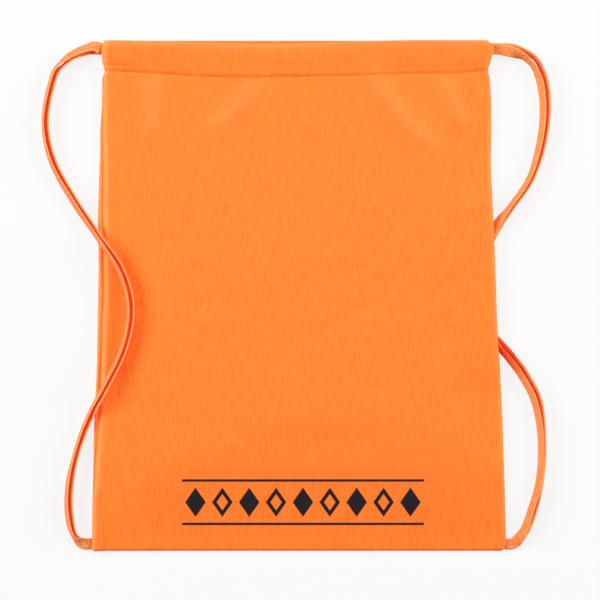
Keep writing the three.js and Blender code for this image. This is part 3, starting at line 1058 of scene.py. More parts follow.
    def row_runs(self) -> list[float]:
        """Runs of the grid's rows, closest at the seam, the stitching and the fold.

        Returns:
            The runs, in rising order.
        """
        end = self.fold_end + self.shape.tunnel_top - self.shape.band_end
        return spaced((
            (0.0, 0.0006), (0.006, 0.0009), (0.03, 0.0026), (self.run_of(0.185), 0.0026),
            (self.run_of(0.194), 0.00065), (self.run_of(0.211), 0.00065), (self.run_of(0.216), 0.0016),
            (self.fold_start, 0.0008), (self.fold_end, 0.0009), (end, 0.003),
        ))

    def column_shares(self) -> list[float]:
        """Shares of the width of the grid's columns, closest at the seams.

        Returns:
            The shares, from 0 to 1.
        """
        width = self.shape.base_width
        stops = ((0.0, 0.00055), (0.009, 0.0007), (0.035, 0.0029))
        mirrored = tuple((width - at, gap) for at, gap in reversed(stops))
        return [at / width for at in spaced(stops + mirrored)]

    def along(self, run: float) -> tuple[float, float, float, float]:
        """Follow the cloth up the sack.

        Args:
            run: distance along the cloth from the bottom seam.

        Returns:
            Height y, depth in from the outer face, how far the bottom edge is turned (1 at the seam)
            and how far the cloth is turned in (1 inside the hem).
        """
        shape = self.shape
        if run < self.quarter:
            return shape.bottom + self.edge_radius, 0.0, math.cos(run / self.edge_radius), 0.0
        if run <= self.fold_start:
            return shape.bottom + self.edge_radius + run - self.quarter, 0.0, 0.0, 0.0
        if run <= self.fold_end:
            angle = (run - self.fold_start) / shape.hem_radius
            y = shape.tunnel_top + self.fold_flatness * shape.hem_radius * math.sin(angle)
            return y, shape.hem_radius * (1 - math.cos(angle)), 0.0, angle / math.pi
        y = shape.tunnel_top - (run - self.fold_end)
        lap = 3 * self.cloth
        opening = smooth((y - shape.tunnel_end) / shape.tunnel_taper / self.taper_stretch)
        depth = lerp(lap, shape.hem_thickness, opening)
        return y, depth, 0.0, 1.0

    def seam_roll(self, y: float) -> float:
        """How far the left seam has rolled over to the front, along the cloth.

        Args:
            y: the height.

        Returns:
            The distance along the cloth.
        """
        seen = table_value(self.roll, y)
        if seen >= self.edge_radius:
            return self.quarter + seen - self.edge_radius
        return self.edge_radius * math.acos(1 - seen / self.edge_radius)

    def outer_z(self, face: Face, x: float, y: float) -> float:
        """Height of a panel's outer face: on the front, the body and over it the bulging hem.

        Args:
            face: the side that the cloth shows there.
            x: the place across the sack.
            y: the place along it.

        Returns:
            The height.
        """
        if face is Face.BACK:
            return self.shape.lift(x, y)
        return lerp(self.shape.body_top(x, y), self.shape.hem_height(x), curve_value(self.hem_share, y))

    def relief(self, face: Face, x: float, y: float) -> float:
        """What the folds and the cloth's unevenness add to the outer face.

        Args:
            face: the side that the cloth shows there.
            x: the place across the sack.
            y: the place along it.

        Returns:
            The height to add.
        """
        broad = noise.noise(Vector((x * self.broad[0], y * self.broad[1], 3.0 * face.value)))
        fine = noise.noise(Vector((x * self.fine[0], y * self.fine[1], 9.0 + face.value)))
        uneven = self.ripple * (broad + self.fine_share * fine)
        if face is Face.BACK:
            return -abs(uneven)
        return uneven + sum(fold.rise(x, y) for fold in self.folds)

    def hem_relief(self, x: float, y: float) -> float:
        """The hem's waves and its two stitched rows, sunk in, with a padded ridge between them.

        Args:
            x: the place across the sack.
            y: the place along it.

        Returns:
            The height to add.
        """
        pucker = 1 + sum(share * math.sin(x * 2 * math.pi / pitch) for share, pitch in self.puckers)
        dips = (curve_value(self.upper_dips, x), self.row_dip)
        stitched = zip(self.stitch_rows, dips, self.row_reach)
        sunk = sum(dip * bell(y - row, reach) for row, dip, reach in stitched)
        pad = self.pad_rise * bell(y - sum(self.stitch_rows) / 2, self.pad_reach)
        waves = 0.0
        if self.face is Face.FRONT:
            low, high = self.waves_from
            waves = curve_value(self.hem_waves, x) * smooth((y - low) / (high - low))
        return pad + waves - sunk * pucker

    def seam_ridge(self, side: Side, to_seam: float, run: float) -> float:
        """How far the cloth swells just inside its seams.

        Args:
            side: the side whose seam is nearer.
            to_seam: the distance from that seam.
            run: the distance from the bottom seam.

        Returns:
            The height to add.
        """
        strong, weak = self.ridge
        across = self.ridge_at(to_seam) * (strong if side is Side.LEFT else weak)
        return max(across, weak * self.ridge_at(run))

    def ridge_at(self, distance: float) -> float:
        """The swelling's share of its height at a distance from a seam."""
        fallen = smooth((distance - self.ridge_crest) / self.ridge_fall)
        return smooth(distance / self.ridge_crest) * (1 - fallen)

    def dip(self, x: float, y: float) -> float:
        """How far the front hem hangs below its ends.

        Args:
            x: the place across the sack.
            y: the place along it.

        Returns:
            The distance along Y.
        """
        rows, brim = curve_value(self.row_dips, x), curve_value(self.brim_dips, x)
        row = self.stitch_rows[0]
        hung = lerp(rows, brim, smooth((y - row) / (self.shape.top - row)))
        return hung * smooth((y - self.dip_start) / (self.shape.band_end - self.dip_start))

    def surface(self, x: float, y: float) -> float:
        """Height of what lies at a point: the front panel, or the floor beside the sack.

        Args:
            x: the point's place across the sack.
            y: its place along it.

        Returns:
            The height.
        """
        inside = min(x - self.edge(Side.LEFT, y), self.edge(Side.RIGHT, y) - x)
        if inside <= 0 or not self.shape.bottom < y < self.shape.top:
            return 0.0
        swell = self.seam_ridge(Side.LEFT if x < 0 else Side.RIGHT, max(0.0, inside - self.flat_rim), 1.0)
        top = self.outer_z(Face.FRONT, x, y) + swell + self.relief(Face.FRONT, x, y)
        round_share = min(1.0, inside / self.edge_radius)
        return top - self.edge_radius * (1 - math.sqrt(1 - (1 - round_share) ** 2))

    def place(self, share: float, run: float) -> tuple[Vector, Vector, float]:
        """Where a point of the cloth lies.

        Args:
            share: share of the width, from the left seam.
            run: distance along the cloth from the bottom seam.

        Returns:
            The point on the outer face, its outward normal before relief, and how much painted highlight
            and rubbing it carries.
        """
        shape, radius_at = self.shape, self.edge_radius
        y, depth, low, turned = self.along(run)
        left, right = self.edge(Side.LEFT, y), self.edge(Side.RIGHT, y)
        hem = smooth((y - self.hem_gap[0]) / (self.hem_gap[1] - self.hem_gap[0]))
        radius = lerp(radius_at, self.open_edge, hem)
        quarter = radius * math.pi / 2
        width = right - left + 2 * (quarter - radius)
        start = self.face.value * self.seam_roll(y)
        across = lerp(start, width, share)
        face = self.face
        if across < 0:
            face, across = Face(-face.value), -across
        side, turn = Side.LEFT, 0.0
        if across < quarter:
            turn = math.cos(across / radius)
        elif width - across < quarter:
            side, turn = Side.RIGHT, math.cos((width - across) / radius)
        turn_x, turn_y = turn * math.sqrt(1 - low * low / 2), low * math.sqrt(1 - turn * turn / 2)
        if turn:
            edge = left if side is Side.LEFT else right
            x = edge - side.value * radius * (1 - turn_x)
        else:
            x = left + radius + across - quarter
        inset = shape.turn_room * max(0.0, turned - self.tucked_from) / (1 - self.tucked_from)
        middle = (left + right) / 2
        x = middle + (x - middle) * (1 - 2 * inset / (right - left))
        flat = math.sqrt(max(0.0, 1 - turn_x**2 - turn_y**2))
        y -= radius_at * turn_y
        z = self.outer_z(face, x, y)
        if turn or low:
            edge_x = min(right, max(left, x)) if not turn else (left if side is Side.LEFT else right)
            middle_z = (self.outer_z(Face.FRONT, edge_x, y) + self.outer_z(Face.BACK, edge_x, y)) / 2
            near_anchor = smooth(self.parting_start - abs(y - shape.anchor_lane) / self.parting_reach)
            parted = self.parting * near_anchor if turn else 0.0
            seam_z = lerp(middle_z + face.value * parted, z - face.value * radius, hem)
            z = lerp(seam_z, z, flat)
        normal = Vector((side.value * turn_x, -turn_y, face.value * flat)).normalized()
        whole = width - start
        to_seam = min(share * whole, (1 - share) * whole)
        dip = self.seam_dip * bell(to_seam, self.seam_reach) * (1 - hem)
        dip = max(dip, self.bottom_dip_share * self.seam_dip * bell(run, self.seam_reach))
        raised = 0.0
        if not turned:
            soft = self.relief(face, x, y) * smooth(to_seam / self.calm_edge)
            if face is Face.FRONT:
                nearer = Side.LEFT if share < 0.5 else Side.RIGHT
                soft += self.seam_ridge(nearer, to_seam, run) * (1 - hem)
            raised = soft * flat + self.hem_relief(x, y) * (1 - turn)
        point = Vector((x, y, z - self.face.value * depth)) + normal * (raised - dip)
        point.y += shape.corner_rise(x) * max(0.0, 1 - (y - shape.bottom) / self.corner_reach)
        if self.face is Face.FRONT:
            point.y -= self.dip(x, y)
        point.z = max(point.z, 0.0)
        creased = sum(max(0.0, fold.rise(x, y)) for fold in self.folds) * flat
        # How pale the cloth is painted: rubbing along the bottom seam, and a painted highlight, partly
        # rubbing, near the side seams, at the hem's brim and on the fold crests.
        pale_rub_highlight = max(
            self.seam_rub_highlight_shares[share >= 0.5] * bell(to_seam - self.seam_rub_highlight[0], self.seam_rub_highlight[1]),
            self.bottom_rub[0] * bell(run, self.bottom_rub[1]),
            self.brim_rub_highlight[0] * bell(run - self.fold_start, self.brim_rub_highlight[1]),
            min(1.0, creased / self.full_crease) * self.crease_highlight,
        )
        return point, normal, pale_rub_highlight

    def build(self, material: bpy.types.Material, nodes: Sequence[str]) -> bpy.types.Object:
        """Make the panel.

        Args:
            material: the cloth.
            nodes: the CAD nodes that the panel stands for.

        Returns:
            The panel's object.
        """
        shares, runs = self.column_shares(), self.row_runs()
        mesh, index = grid(len(shares), len(runs))
        rub_highlight = mesh.verts.layers.float.new("rub_highlight")
        for vert in mesh.verts:
            column, row = index(vert)
            vert.co, _, vert[rub_highlight] = self.place(shares[column], runs[row])
        if self.face is Face.BACK:
            bmesh.ops.reverse_faces(mesh, faces=mesh.faces[:])
        piece = finished(mesh, f"{self.face.label}_cloth", material, nodes)
        thicken(piece, self.cloth, -1.0)
        return piece


@dataclass
class SeamAllowance:
    """The turned-in cut edges of the cloth along one seam, overlocked together."""

    name: str
    start: Vector
    end_y: float
    width: float
    shape: SackShape
    side: Side | None = None
    thickness: float = 0.0011
    ripple: float = 0.00035
    ripple_pitch: float = 0.013
    ripple_drift: tuple[float, float] = (2.0, 60.0)
    inset: float = 0.0012
    step: float = 0.003
    columns: int = 6

    def build(self, material: bpy.types.Material) -> bpy.types.Object:
        """Make the strip.

        Args:
            material: the overlocked cloth.

        Returns:
            The strip's object.
        """
        low, high = (self.start.y, self.end_y) if self.side else (self.start.x, -self.start.x)
        rows = max(2, round((high - low) / self.step))
        mesh, index = grid(self.columns + 1, rows + 1)
        places = {vert: index(vert) for vert in mesh.verts}
        uv = mesh.loops.layers.uv.new("UVMap")
        for face in mesh.faces:
            for loop in face.loops:
                column, row = places[loop.vert]
                loop[uv].uv = (row * self.step, self.width * (1 - column / self.columns))
        for vert, (column, row) in places.items():
            vert.co = self.place(column / self.columns, lerp(low, high, row / rows))
        if self.side is not Side.LEFT:
            bmesh.ops.reverse_faces(mesh, faces=mesh.faces[:])
        piece = finished(mesh, self.name, material, [self.name])
        thicken(piece, self.thickness, 0.0)
        return piece

    def place(self, share: float, along: float) -> Vector:
        """A point of the strip at a share of its width and a place along its seam.

        Args:
            share: 0 at the seam, 1 at the cut edge.
            along: the place along the seam.

        Returns:
            The point, in the middle of the strip's thickness.
        """
        drift, rate = self.ripple_drift
        phase = along * 2 * math.pi / self.ripple_pitch + drift * math.sin(along * rate)
        wave = self.ripple * share * math.sin(phase)
        inward = lerp(self.inset, self.width, share)
        if not self.side:
            y = self.shape.bottom + inward
            return Vector((along, y, self.shape.rim_height / 2 + wave))
        edge = self.shape.edge(self.side, along)
        x = edge - self.side.value * inward
        bottom, top = self.shape.lift(x, along), self.shape.front_top(edge, along)
        return Vector((x, along, (bottom + min(top, bottom + self.shape.rim_height)) / 2 + wave))


# Tapes

def curve_through(points: Sequence[Vector], step: float) -> list[tuple[Vector, int, float]]:
    """A smooth line through points, the same as the CAD's centre lines.

    Args:
        points: what the line passes through.
        step: the longest distance between two of its own points.

    Returns:
        The line's points, each with the index of its stretch and its share of that stretch.
    """
    padded = [2 * points[0] - points[1], *points, 2 * points[-1] - points[-2]]
    line = []
    for k in range(len(points) - 1):
        p0, p1, p2, p3 = padded[k : k + 4]
        d0, d1, d2 = (max((b - a).length ** 0.5, 1e-5) for a, b in ((p0, p1), (p1, p2), (p2, p3)))
        t1 = ((p1 - p0) / d0 - (p2 - p0) / (d0 + d1) + (p2 - p1) / d1) * d1
        t2 = ((p2 - p1) / d1 - (p3 - p1) / (d1 + d2) + (p3 - p2) / d2) * d1
        count = max(2, math.ceil((p2 - p1).length / step))
        for i in range(count + (k == len(points) - 2)):
            t = i / count
            cubic = 2 * p1 - 2 * p2 + t1 + t2
            square = -3 * p1 + 3 * p2 - 2 * t1 - t2
            line.append((p1 + t1 * t + square * t**2 + cubic * t**3, k, t))
    return line


def face_normal(tangent: Vector, roll: float) -> Vector:
    """Upward normal of a tape that runs along tangent, tilted to its right by roll in degrees.

    Args:
        tangent: the tape's direction.
        roll: its tilt.

    Returns:
        The normal.
    """
    side = tangent.cross(UP).normalized()
    upward = side.cross(tangent)
    return upward * math.cos(math.radians(roll)) + side * math.sin(math.radians(roll))


def directions(points: Sequence[Vector]) -> list[Vector]:
    """The direction of a line at each of its points."""
    last = len(points) - 1
    return [(points[min(k + 1, last)] - points[max(k - 1, 0)]).normalized() for k in range(last + 1)]


@dataclass
class Tape:
    """A stretch of flat woven tape that follows a line of frames: point, face normal, width direction."""

    name: str
    frames: list[Frame]
    nodes: Sequence[str]
    width: float = 0.010
    thickness: float = 0.0012
    across: int = 8
    edge_share: float = 0.42

    def edge(self, v: float) -> float:
        """How near its woven edges the tape is at v across it, from 0 to 1."""
        return abs(2 * v / self.width) ** 6

    def half_thickness(self, v: float) -> float:
        """Half the tape's thickness at v across it, thinner at its edges."""
        return self.thickness / 2 * (1 - (1 - self.edge_share) * self.edge(v))

    def build(self, material: bpy.types.Material) -> bpy.types.Object:
        """Make the tape.

        Args:
            material: the woven tape.

        Returns:
            The tape's object.
        """
        mesh, index = grid(len(self.frames), self.across + 1)
        top = bmesh.ops.extrude_face_region(mesh, geom=mesh.faces[:])["geom"]
        for item in top:
            if isinstance(item, bmesh.types.BMVert):
                item.co.z = 1.0
        bmesh.ops.recalc_face_normals(mesh, faces=mesh.faces[:])
        runs = [0.0]
        for before, after in zip(self.frames, self.frames[1:]):
            runs.append(runs[-1] + (after[0] - before[0]).length)
        uv = mesh.loops.layers.uv.new("UVMap")
        rub_highlight = mesh.verts.layers.float.new("rub_highlight")
        spots = {vert: index(vert) for vert in mesh.verts}
        for face in mesh.faces:
            for loop in face.loops:
                column, row = spots[loop.vert]
                loop[uv].uv = (runs[column], self.width * row / self.across)
        for vert, (column, row) in spots.items():
            v = self.width * (row / self.across - 0.5)
            centre, normal, sideways = self.frames[column]
            level = self.half_thickness(v) * (1 if vert.co.z > 0.5 else -1)
            # Painted highlight along the tape's edges.
            vert[rub_highlight] = self.edge(v)
            vert.co = centre + sideways * v + normal * level
        return finished(mesh, self.name, material, self.nodes)


@dataclass(frozen=True)
class Lean:
    """How one tape of a pair lies at a row of its route.

    Its offset to the right of the route as it runs, its height above the route where it is held, both
    in metres, and its tilt to that side in degrees.
    """

    across: float
    up: float
    roll: float


@dataclass(frozen=True)
class StrapRow:
    """A point of a strap's route, how far its tapes have settled there, and how each of them lies."""

    place: Vector
    settled: float
    front: Lean
    back: Lean

    def lean(self, face: Face) -> Lean:
        """How the front or the back tape lies."""
        return self.front if face is Face.FRONT else self.back


@dataclass
class StrapPair:
    """The two free stretches of one drawcord, which lie together on edge as a shoulder strap.

    The places of the route's rows are the same as the CAD's. A settled tape rests its lower edge on
    what lies under it.
    """

    side: Side
    route: Sequence[StrapRow]
    exit_spread: float
    exit_leans: tuple[tuple[float, float], tuple[float, float]]
    shape: SackShape
    under: Callable[[float, float], float] | None = None
    width: float = 0.010
    thickness: float = 0.0012
    step: float = 0.0022
    clear: float = 0.0003
    lead: float = 0.007
    lane_slope: float = 0.0105 / 0.3469
    upper_lane: float = 0.22055
    low_level: float = 0.0017
    high_level: float = 0.0032
    gap: float = 0.0001
    window: int = 3

    def rows(self) -> list[StrapRow]:
        """The route with its two ends, straight out of the hem and into the seam.

        Returns:
            The rows, from the hem to the seam.
        """
        sign, lane, anchor = self.side.value, self.upper_lane, self.shape.anchor_lane
        top, foot = self.shape.edge(self.side, lane), self.shape.edge(self.side, anchor)
        middle = (self.low_level + self.high_level) / 2

        def held(place: Vector, spread: float) -> StrapRow:
            """A row whose flat tapes are held one over the other."""
            return StrapRow(place, 0.0, Lean(0.0, spread / 2, 0.0), Lean(0.0, -spread / 2, 0.0))

        def exit_row(reach: float) -> StrapRow:
            """A row straight out of the hem.

            Args:
                reach: how far out of it.

            Returns:
                The row.
            """
            out = top + sign * (self.clear + reach)
            height = self.shape.hem_end_height / 2
            return held(Vector((out, lane + reach * self.lane_slope, height)), self.exit_spread)

        def sewn_row(reach: float) -> StrapRow:
            """A row straight out of the foot of the seam."""
            out = foot + sign * (self.clear + reach)
            return held(Vector((out, anchor, middle)), self.high_level - self.low_level)

        straight = exit_row(self.lead)
        held_leans = zip(self.exit_leans, (straight.front, straight.back))
        leans = [Lean(across, lean.up, roll) for (across, roll), lean in held_leans]
        led = StrapRow(straight.place, 0.0, *leans)
        return [exit_row(0), led, *self.route, sewn_row(self.lead), sewn_row(0)]

    def frames(self, face: Face) -> list[Frame]:
        """Frames of one tape of the pair.

        Args:
            face: the pair's upper tape is its front one.

        Returns:
            The tape's frames from the hem to the seam.
        """
        rows = self.rows()
        line = curve_through([row.place for row in rows], self.step)
        tangents = directions([point for point, _, _ in line])
        spots = []
        for (point, k, t), tangent in zip(line, tangents):
            before, after, share = rows[k].lean(face), rows[k + 1].lean(face), smooth(t)
            roll = lerp(before.roll, after.roll, share)
            sideways = tangent.cross(UP).normalized()
            held = point + sideways * lerp(before.across, after.across, share)
            held += UP * lerp(before.up, after.up, share)
            spots.append((held, sideways, roll, lerp(rows[k].settled, rows[k + 1].settled, share)))
        rests = [self.resting_level(held, sideways, roll) for held, sideways, roll, _ in spots]
        last = len(rests) - 1
        highest = [max(rests[max(k - self.window, 0) : k + self.window + 1]) for k in range(last + 1)]
        points = []
        for k, (held, _, roll, settled) in enumerate(spots):
            near = highest[max(k - self.window, 0) : k + self.window + 1]
            angle = math.radians(roll)
            rise = self.width / 2 * math.sin(abs(angle)) + self.thickness / 2 * math.cos(angle)
            level = sum(near) / len(near) + rise + self.gap
            height = max(lerp(held.z, level, settled), rise + self.gap)
            points.append(Vector((held.x, held.y, height)))
        found = []
        for point, tangent, (_, _, roll, _) in zip(points, directions(points), spots):
            normal = face_normal(tangent, roll)
            found.append((point, normal, tangent.cross(normal)))
        return found

    def resting_level(self, held: Vector, sideways: Vector, roll: float) -> float:
        """Height of what lies under a tape's lower edge.

        Args:
            held: the middle of the tape.
            sideways: the level direction across it.
            roll: its tilt, in degrees.

        Returns:
            The height, 0 on the floor.
        """
        if not self.under:
            return 0.0
        low = held + sideways * (self.width / 2 * math.cos(math.radians(roll)))
        return self.under(low.x, low.y)

    def build(self, material: bpy.types.Material) -> list[bpy.types.Object]:
        """Make both tapes and log their lengths.

        Args:
            material: the woven tape.

        Returns:
            The front and the back tape.
        """
        made = []
        for face in Face:
            node = f"{self.side.label}_{face.label}_strap"
            frames = self.frames(face)
            tape = Tape(f"{node}_tape", frames, [node]).build(material)
            path = [frame_at[0] for frame_at in frames]
            length = sum((b - a).length for a, b in zip(path, path[1:]))
            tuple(path[0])
            log.info("%s is %.3f m long", node, length)
            made.append(tape)
        return made


@dataclass
class HemCord:
    """The stretch of a drawcord inside the hem: through the front tunnel, round, and out of the back."""

    side: Side
    level: float
    shape: SackShape
    upper_lane: float = 0.22055
    lower_lane: float = 0.21005
    clear: float = 0.0003
    overlap: float = 0.0002
    end_room: float = 0.0036
    sink: float = 0.0005
    sink_run: float = 0.02
    step: float = 0.004
    turn_steps: int = 12

    def frames(self) -> list[Frame]:
        """Frames of the tape from the front exit round to the back one.

        Returns:
            The tape's frames.
        """
        sign, upper, lower = self.side.value, self.upper_lane, self.lower_lane
        start = Vector((self.shape.edge(self.side, upper) + sign * self.overlap, upper, 0.0))
        end = Vector((self.shape.edge(Side(-sign), lower) + sign * self.clear, lower, 0.0))
        run = (end - start).normalized()
        sideways = run.cross(UP)
        height = self.shape.hem_end_height
        radius = (height - 2 * self.level) / 2
        reach = (end - start).length - radius - self.end_room
        count = math.ceil(reach / self.step)
        line = []
        for k in range(count + 1):
            at = start + run * (reach * k / count)
            sunk = self.level + self.sink * smooth((at - start).length / self.sink_run)
            line.append(at + UP * (self.shape.hem_height(at.x) - sunk))
        centre = start + run * reach + UP * (height / 2)
        for k in range(1, self.turn_steps):
            angle = math.pi * (0.5 - k / self.turn_steps)
            line.append(centre + run * (radius * math.cos(angle)) + UP * (radius * math.sin(angle)))
        for k in range(count + 1):
            line.append(start + run * (reach * (1 - k / count)) + UP * self.level)
        placed = zip(line, directions(line))
        return [(point, sideways.cross(tangent), sideways) for point, tangent in placed]

    def build(self, material: bpy.types.Material) -> bpy.types.Object:
        """Make the tape of the given material."""
        node = f"{self.side.label}_drawcord_in_hem"
        return Tape(f"{node}_tape", self.frames(), [node], across=6).build(material)


@dataclass
class SewnEnd:
    """The end of a strap's tape between the panels, at the foot of the side seam."""

    side: Side
    face: Face
    level: float
    shape: SackShape
    length: float = 0.012
    overlap: float = 0.00045
    steps: int = 6

    def frames(self) -> list[Frame]:
        """Frames of the tape from the seam inwards.

        Returns:
            The tape's frames.
        """
        sign, y = self.side.value, self.shape.anchor_lane
        edge = self.shape.edge(self.side, y)
        outer, inner = edge + sign * self.overlap, edge - sign * self.length
        places = [lerp(outer, inner, k / self.steps) for k in range(self.steps + 1)]
        along = Vector((-sign, 0.0, 0.0))
        return [(Vector((x, y, self.level)), UP.copy(), along.cross(UP)) for x in places]

    def build(self, material: bpy.types.Material) -> bpy.types.Object:
        """Make the end of the given material."""
        node = f"{self.side.label}_{self.face.label}_strap_end"
        return Tape(f"{node}_tape", self.frames(), [node]).build(material)


# Stitching

@dataclass
class Stitching:
    """Visible stitches of one row or tack, all in one piece."""

    name: str
    length: float = 0.0026
    width: float = 0.0005
    height: float = 0.00042
    spots: list[tuple[Vector, Vector, Vector]] = field(default_factory=list)

    def add(self, at: Vector, along: Vector, normal: Vector) -> None:
        """Add one stitch at a point, along a direction, on a surface with that normal."""
        self.spots.append((at, along, normal))

    def build(self, material: bpy.types.Material) -> bpy.types.Object:
        """Make the stitches.

        Args:
            material: the sewing thread.

        Returns:
            The stitches' object.
        """
        mesh = bmesh.new()
        for at, along, normal in self.spots:
            x = along.normalized()
            y = normal.cross(x).normalized()
            z = x.cross(y)
            turn = Matrix((x, y, z)).transposed().to_4x4()
            size = Matrix.Diagonal((self.length / 2, self.width / 2, self.height / 2, 1.0))
            place = Matrix.Translation(at) @ turn @ size
            bmesh.ops.create_uvsphere(mesh, u_segments=8, v_segments=6, radius=1.0, matrix=place)
        return finished(mesh, self.name, material)


@dataclass
class HemStitching:
    """The two stitched rows of a panel's hem."""

    panel: Panel
    pitch: float = 0.0033
    end_gap: float = 0.0028
    sink: float = 0.00005
    ahead: float = 0.002

    def build(self, material: bpy.types.Material) -> bpy.types.Object:
        """Make the rows.

        Args:
            material: the sewing thread.

        Returns:
            The rows' object.
        """
        panel = self.panel
        rows = Stitching(f"{panel.face.label}_hem_stitches")
        for y in panel.stitch_rows:
            width = panel.shape.edge(Side.RIGHT, y) - panel.shape.edge(Side.LEFT, y)
            count = round((width - 2 * self.end_gap) / self.pitch)
            run = panel.run_of(y)
            for k in range(count):
                share = (self.end_gap + (k + 0.5) * self.pitch) / width
                at, normal, _ = panel.place(share, run)
                ahead, _, _ = panel.place(share + self.ahead, run)
                at -= normal * self.sink
                at.z = max(at.z, rows.height / 2)
                rows.add(at, ahead - at, normal)
        return rows.build(material)


@dataclass
class AnchorStitching:
    """Stitches through the strap tapes beside the foot of a side seam."""

    side: Side
    shape: SackShape
    out: float = 0.0014
    pitch: float = 0.0019
    count: int = 5
    top: float = 0.0038

    def build(self, material: bpy.types.Material) -> bpy.types.Object:
        """Make the tack.

        Args:
            material: the sewing thread.

        Returns:
            The tack's object.
        """
        tack = Stitching(f"{self.side.label}_strap_tack", length=0.0016, width=0.0006)
        lane = self.shape.anchor_lane
        x = self.shape.edge(self.side, lane) + self.side.value * self.out
        for k in range(self.count):
            y = lane + self.pitch * (k - (self.count - 1) / 2)
            tack.add(Vector((x, y, self.top)), Vector((0.0, 1.0, 0.0)), UP)
        return tack.build(material)


# Stage

@dataclass(frozen=True)
class Softbox:
    """A square lamp that faces the sack: its direction in degrees from +X and above the floor, and its
    distance, size and watts."""

    name: str
    azimuth: float
    elevation: float
    distance: float
    size: float
    power: float

    def build(self) -> None:
        """Set up the lamp."""
        data = bpy.data.lights.new(self.name, "AREA")
        data.shape = "SQUARE"
        data.size = self.size
        data.energy = self.power
        lamp = bpy.data.objects.new(self.name, data)
        a, e = math.radians(self.azimuth), math.radians(self.elevation)
        away = Vector((math.cos(a) * math.cos(e), math.sin(a) * math.cos(e), math.sin(e)))
        lamp.location = away * self.distance
        lamp.rotation_euler = away.to_track_quat("Z", "Y").to_euler()
        bpy.context.scene.collection.objects.link(lamp)


@dataclass
class Studio:
    """Camera, world, floor and lamps: two large low ones, one from each side, and one over the mouth."""

    centre: tuple[float, float] = (0.00134, -0.00402)
    camera_height: float = 2.687
    lens: float = 180.0
    sensor: float = 36.0
    farthest: float = 20.0
    sky: float = 0.10
    floor_grey: float = 0.86
    floor_white: float = 0.82
    floor_size: float = 6.0
    softboxes: tuple[Softbox, ...] = (
        Softbox("key", 162.0, 30.0, 4.0, 2.1, 139.0),
        Softbox("fill", 10.0, 22.0, 4.0, 2.0, 141.0),
        Softbox("top", 92.0, 46.0, 1.4, 0.9, 5.4),
    )

    def camera(self) -> None:
        """Look straight down at the sack."""
        data = bpy.data.cameras.new("camera")
        data.lens = self.lens
        data.sensor_width = self.sensor
        data.clip_end = self.farthest
        camera = bpy.data.objects.new("camera", data)
        camera.location = (*self.centre, self.camera_height)
        bpy.context.scene.collection.objects.link(camera)
        bpy.context.scene.camera = camera

    def world(self) -> None:
        """Even light all round, seen as white."""
        world = bpy.data.worlds.new("studio")
        world.use_nodes = True
        bpy.context.scene.world = world
        graph = Graph(world.node_tree)
        light = graph.add("Background", {"Color": WHITE, "Strength": self.sky})
        white = graph.add("Background", {"Color": WHITE, "Strength": 1.0})
        graph.add("OutputWorld", {"Surface": graph.mixed(graph.seen_directly(), light, white)})

    def floor(self) -> None:
        """A white table top that keeps a faint shadow."""
        material = bpy.data.materials.new("table_top")
        material.use_nodes = True
        graph = Graph(material.node_tree)
        matt = graph.add("BsdfDiffuse", {"Color": shaded(WHITE, self.floor_grey)})
        white = graph.add("Emission", {"Color": WHITE, "Strength": 1.0})
        seen = graph.times(graph.seen_directly(), self.floor_white)
        graph.add("OutputMaterial", {"Surface": graph.mixed(seen, matt, white)})
        mesh = bmesh.new()
        bmesh.ops.create_grid(mesh, x_segments=1, y_segments=1, size=self.floor_size)
        data = bpy.data.meshes.new("floor")
        mesh.to_mesh(data)
        mesh.free()
        data.materials.append(material)
        floor = bpy.data.objects.new("floor", data)
        bpy.context.scene.collection.objects.link(floor)

    def build(self) -> None:
        """Set up the camera, the lamps, the world and the floor."""
        self.camera()
        for softbox in self.softboxes:
            softbox.build()
        self.world()
        self.floor()
        bpy.context.scene.view_settings.view_transform = "Standard"


def strap_rows(rows: Sequence[Sequence[float | tuple[float, ...]]]) -> list[StrapRow]:
    """Rows of a strap's route from millimetres and degrees.

    Args:
        rows: x, y and z; the front and the back tape's offset and tilt, and their height where they are
            held; and how far they have settled, where it isn't 1.

    Returns:
        The rows in metres.
    """
    def lean(across: float, roll: float, up: float = 0.0) -> Lean:
        """One tape's lean, in metres."""
        return Lean(across / 1000, up / 1000, roll)

    return [
        StrapRow(Vector((x, y, z)) / 1000, settled[0] if settled else 1.0, lean(*front), lean(*back))
        for x, y, z, front, back, *settled in rows
    ]


LEFT_ROUTE = strap_rows([
    (-190.5, 219.6, 4.9, (1.2, 46, 2.4), (-0.7, 30, -2.4), 0.0),
    (-204.3, 212.3, 6.2, (2.2, 54, 1.2), (-1.6, 66, -1.0), 0.6),
    (-211.7, 205.9, 6.3, (2.7, 72), (-1.3, 67)),
    (-215.9, 200.7, 6.2, (2.9, 71), (-0.6, 61)),
    (-223.1, 181.9, 6.0, (1.7, 72), (-1.7, 62)),
    (-226.6, 152.4, 6.0, (2.0, 77), (-1.2, 61)),
    (-220.4, 121.1, 6.0, (1.9, 72), (-1.6, 64)),
    (-201.2, 85.4, 7.4, (1.6, 66), (-1.6, 66)),
    (-178.0, 51.6, 11.4, (1.7, 70), (-1.4, 67)),
    (-158.2, 22.9, 12.0, (2.8, 73), (-1.4, 71)),
    (-149.8, -9.4, 12.8, (2.5, 74), (-2.2, 75)),
    (-154.7, -44.3, 12.3, (2.5, 73), (-1.6, 73)),
    (-172.0, -80.1, 11.7, (1.6, 73), (-1.9, 68)),
    (-188.2, -110.1, 9.0, (1.3, 75), (-2.0, 62)),
    (-199.8, -142.6, 6.2, (1.1, 76), (-1.8, 66)),
    (-205.6, -173.9, 6.0, (1.7, 70), (-1.9, 60)),
    (-204.9, -199.5, 5.4, (1.7, 67), (-2.0, 61)),
    (-200.0, -215.5, 5.2, (1.3, 70), (-1.3, 66)),
])
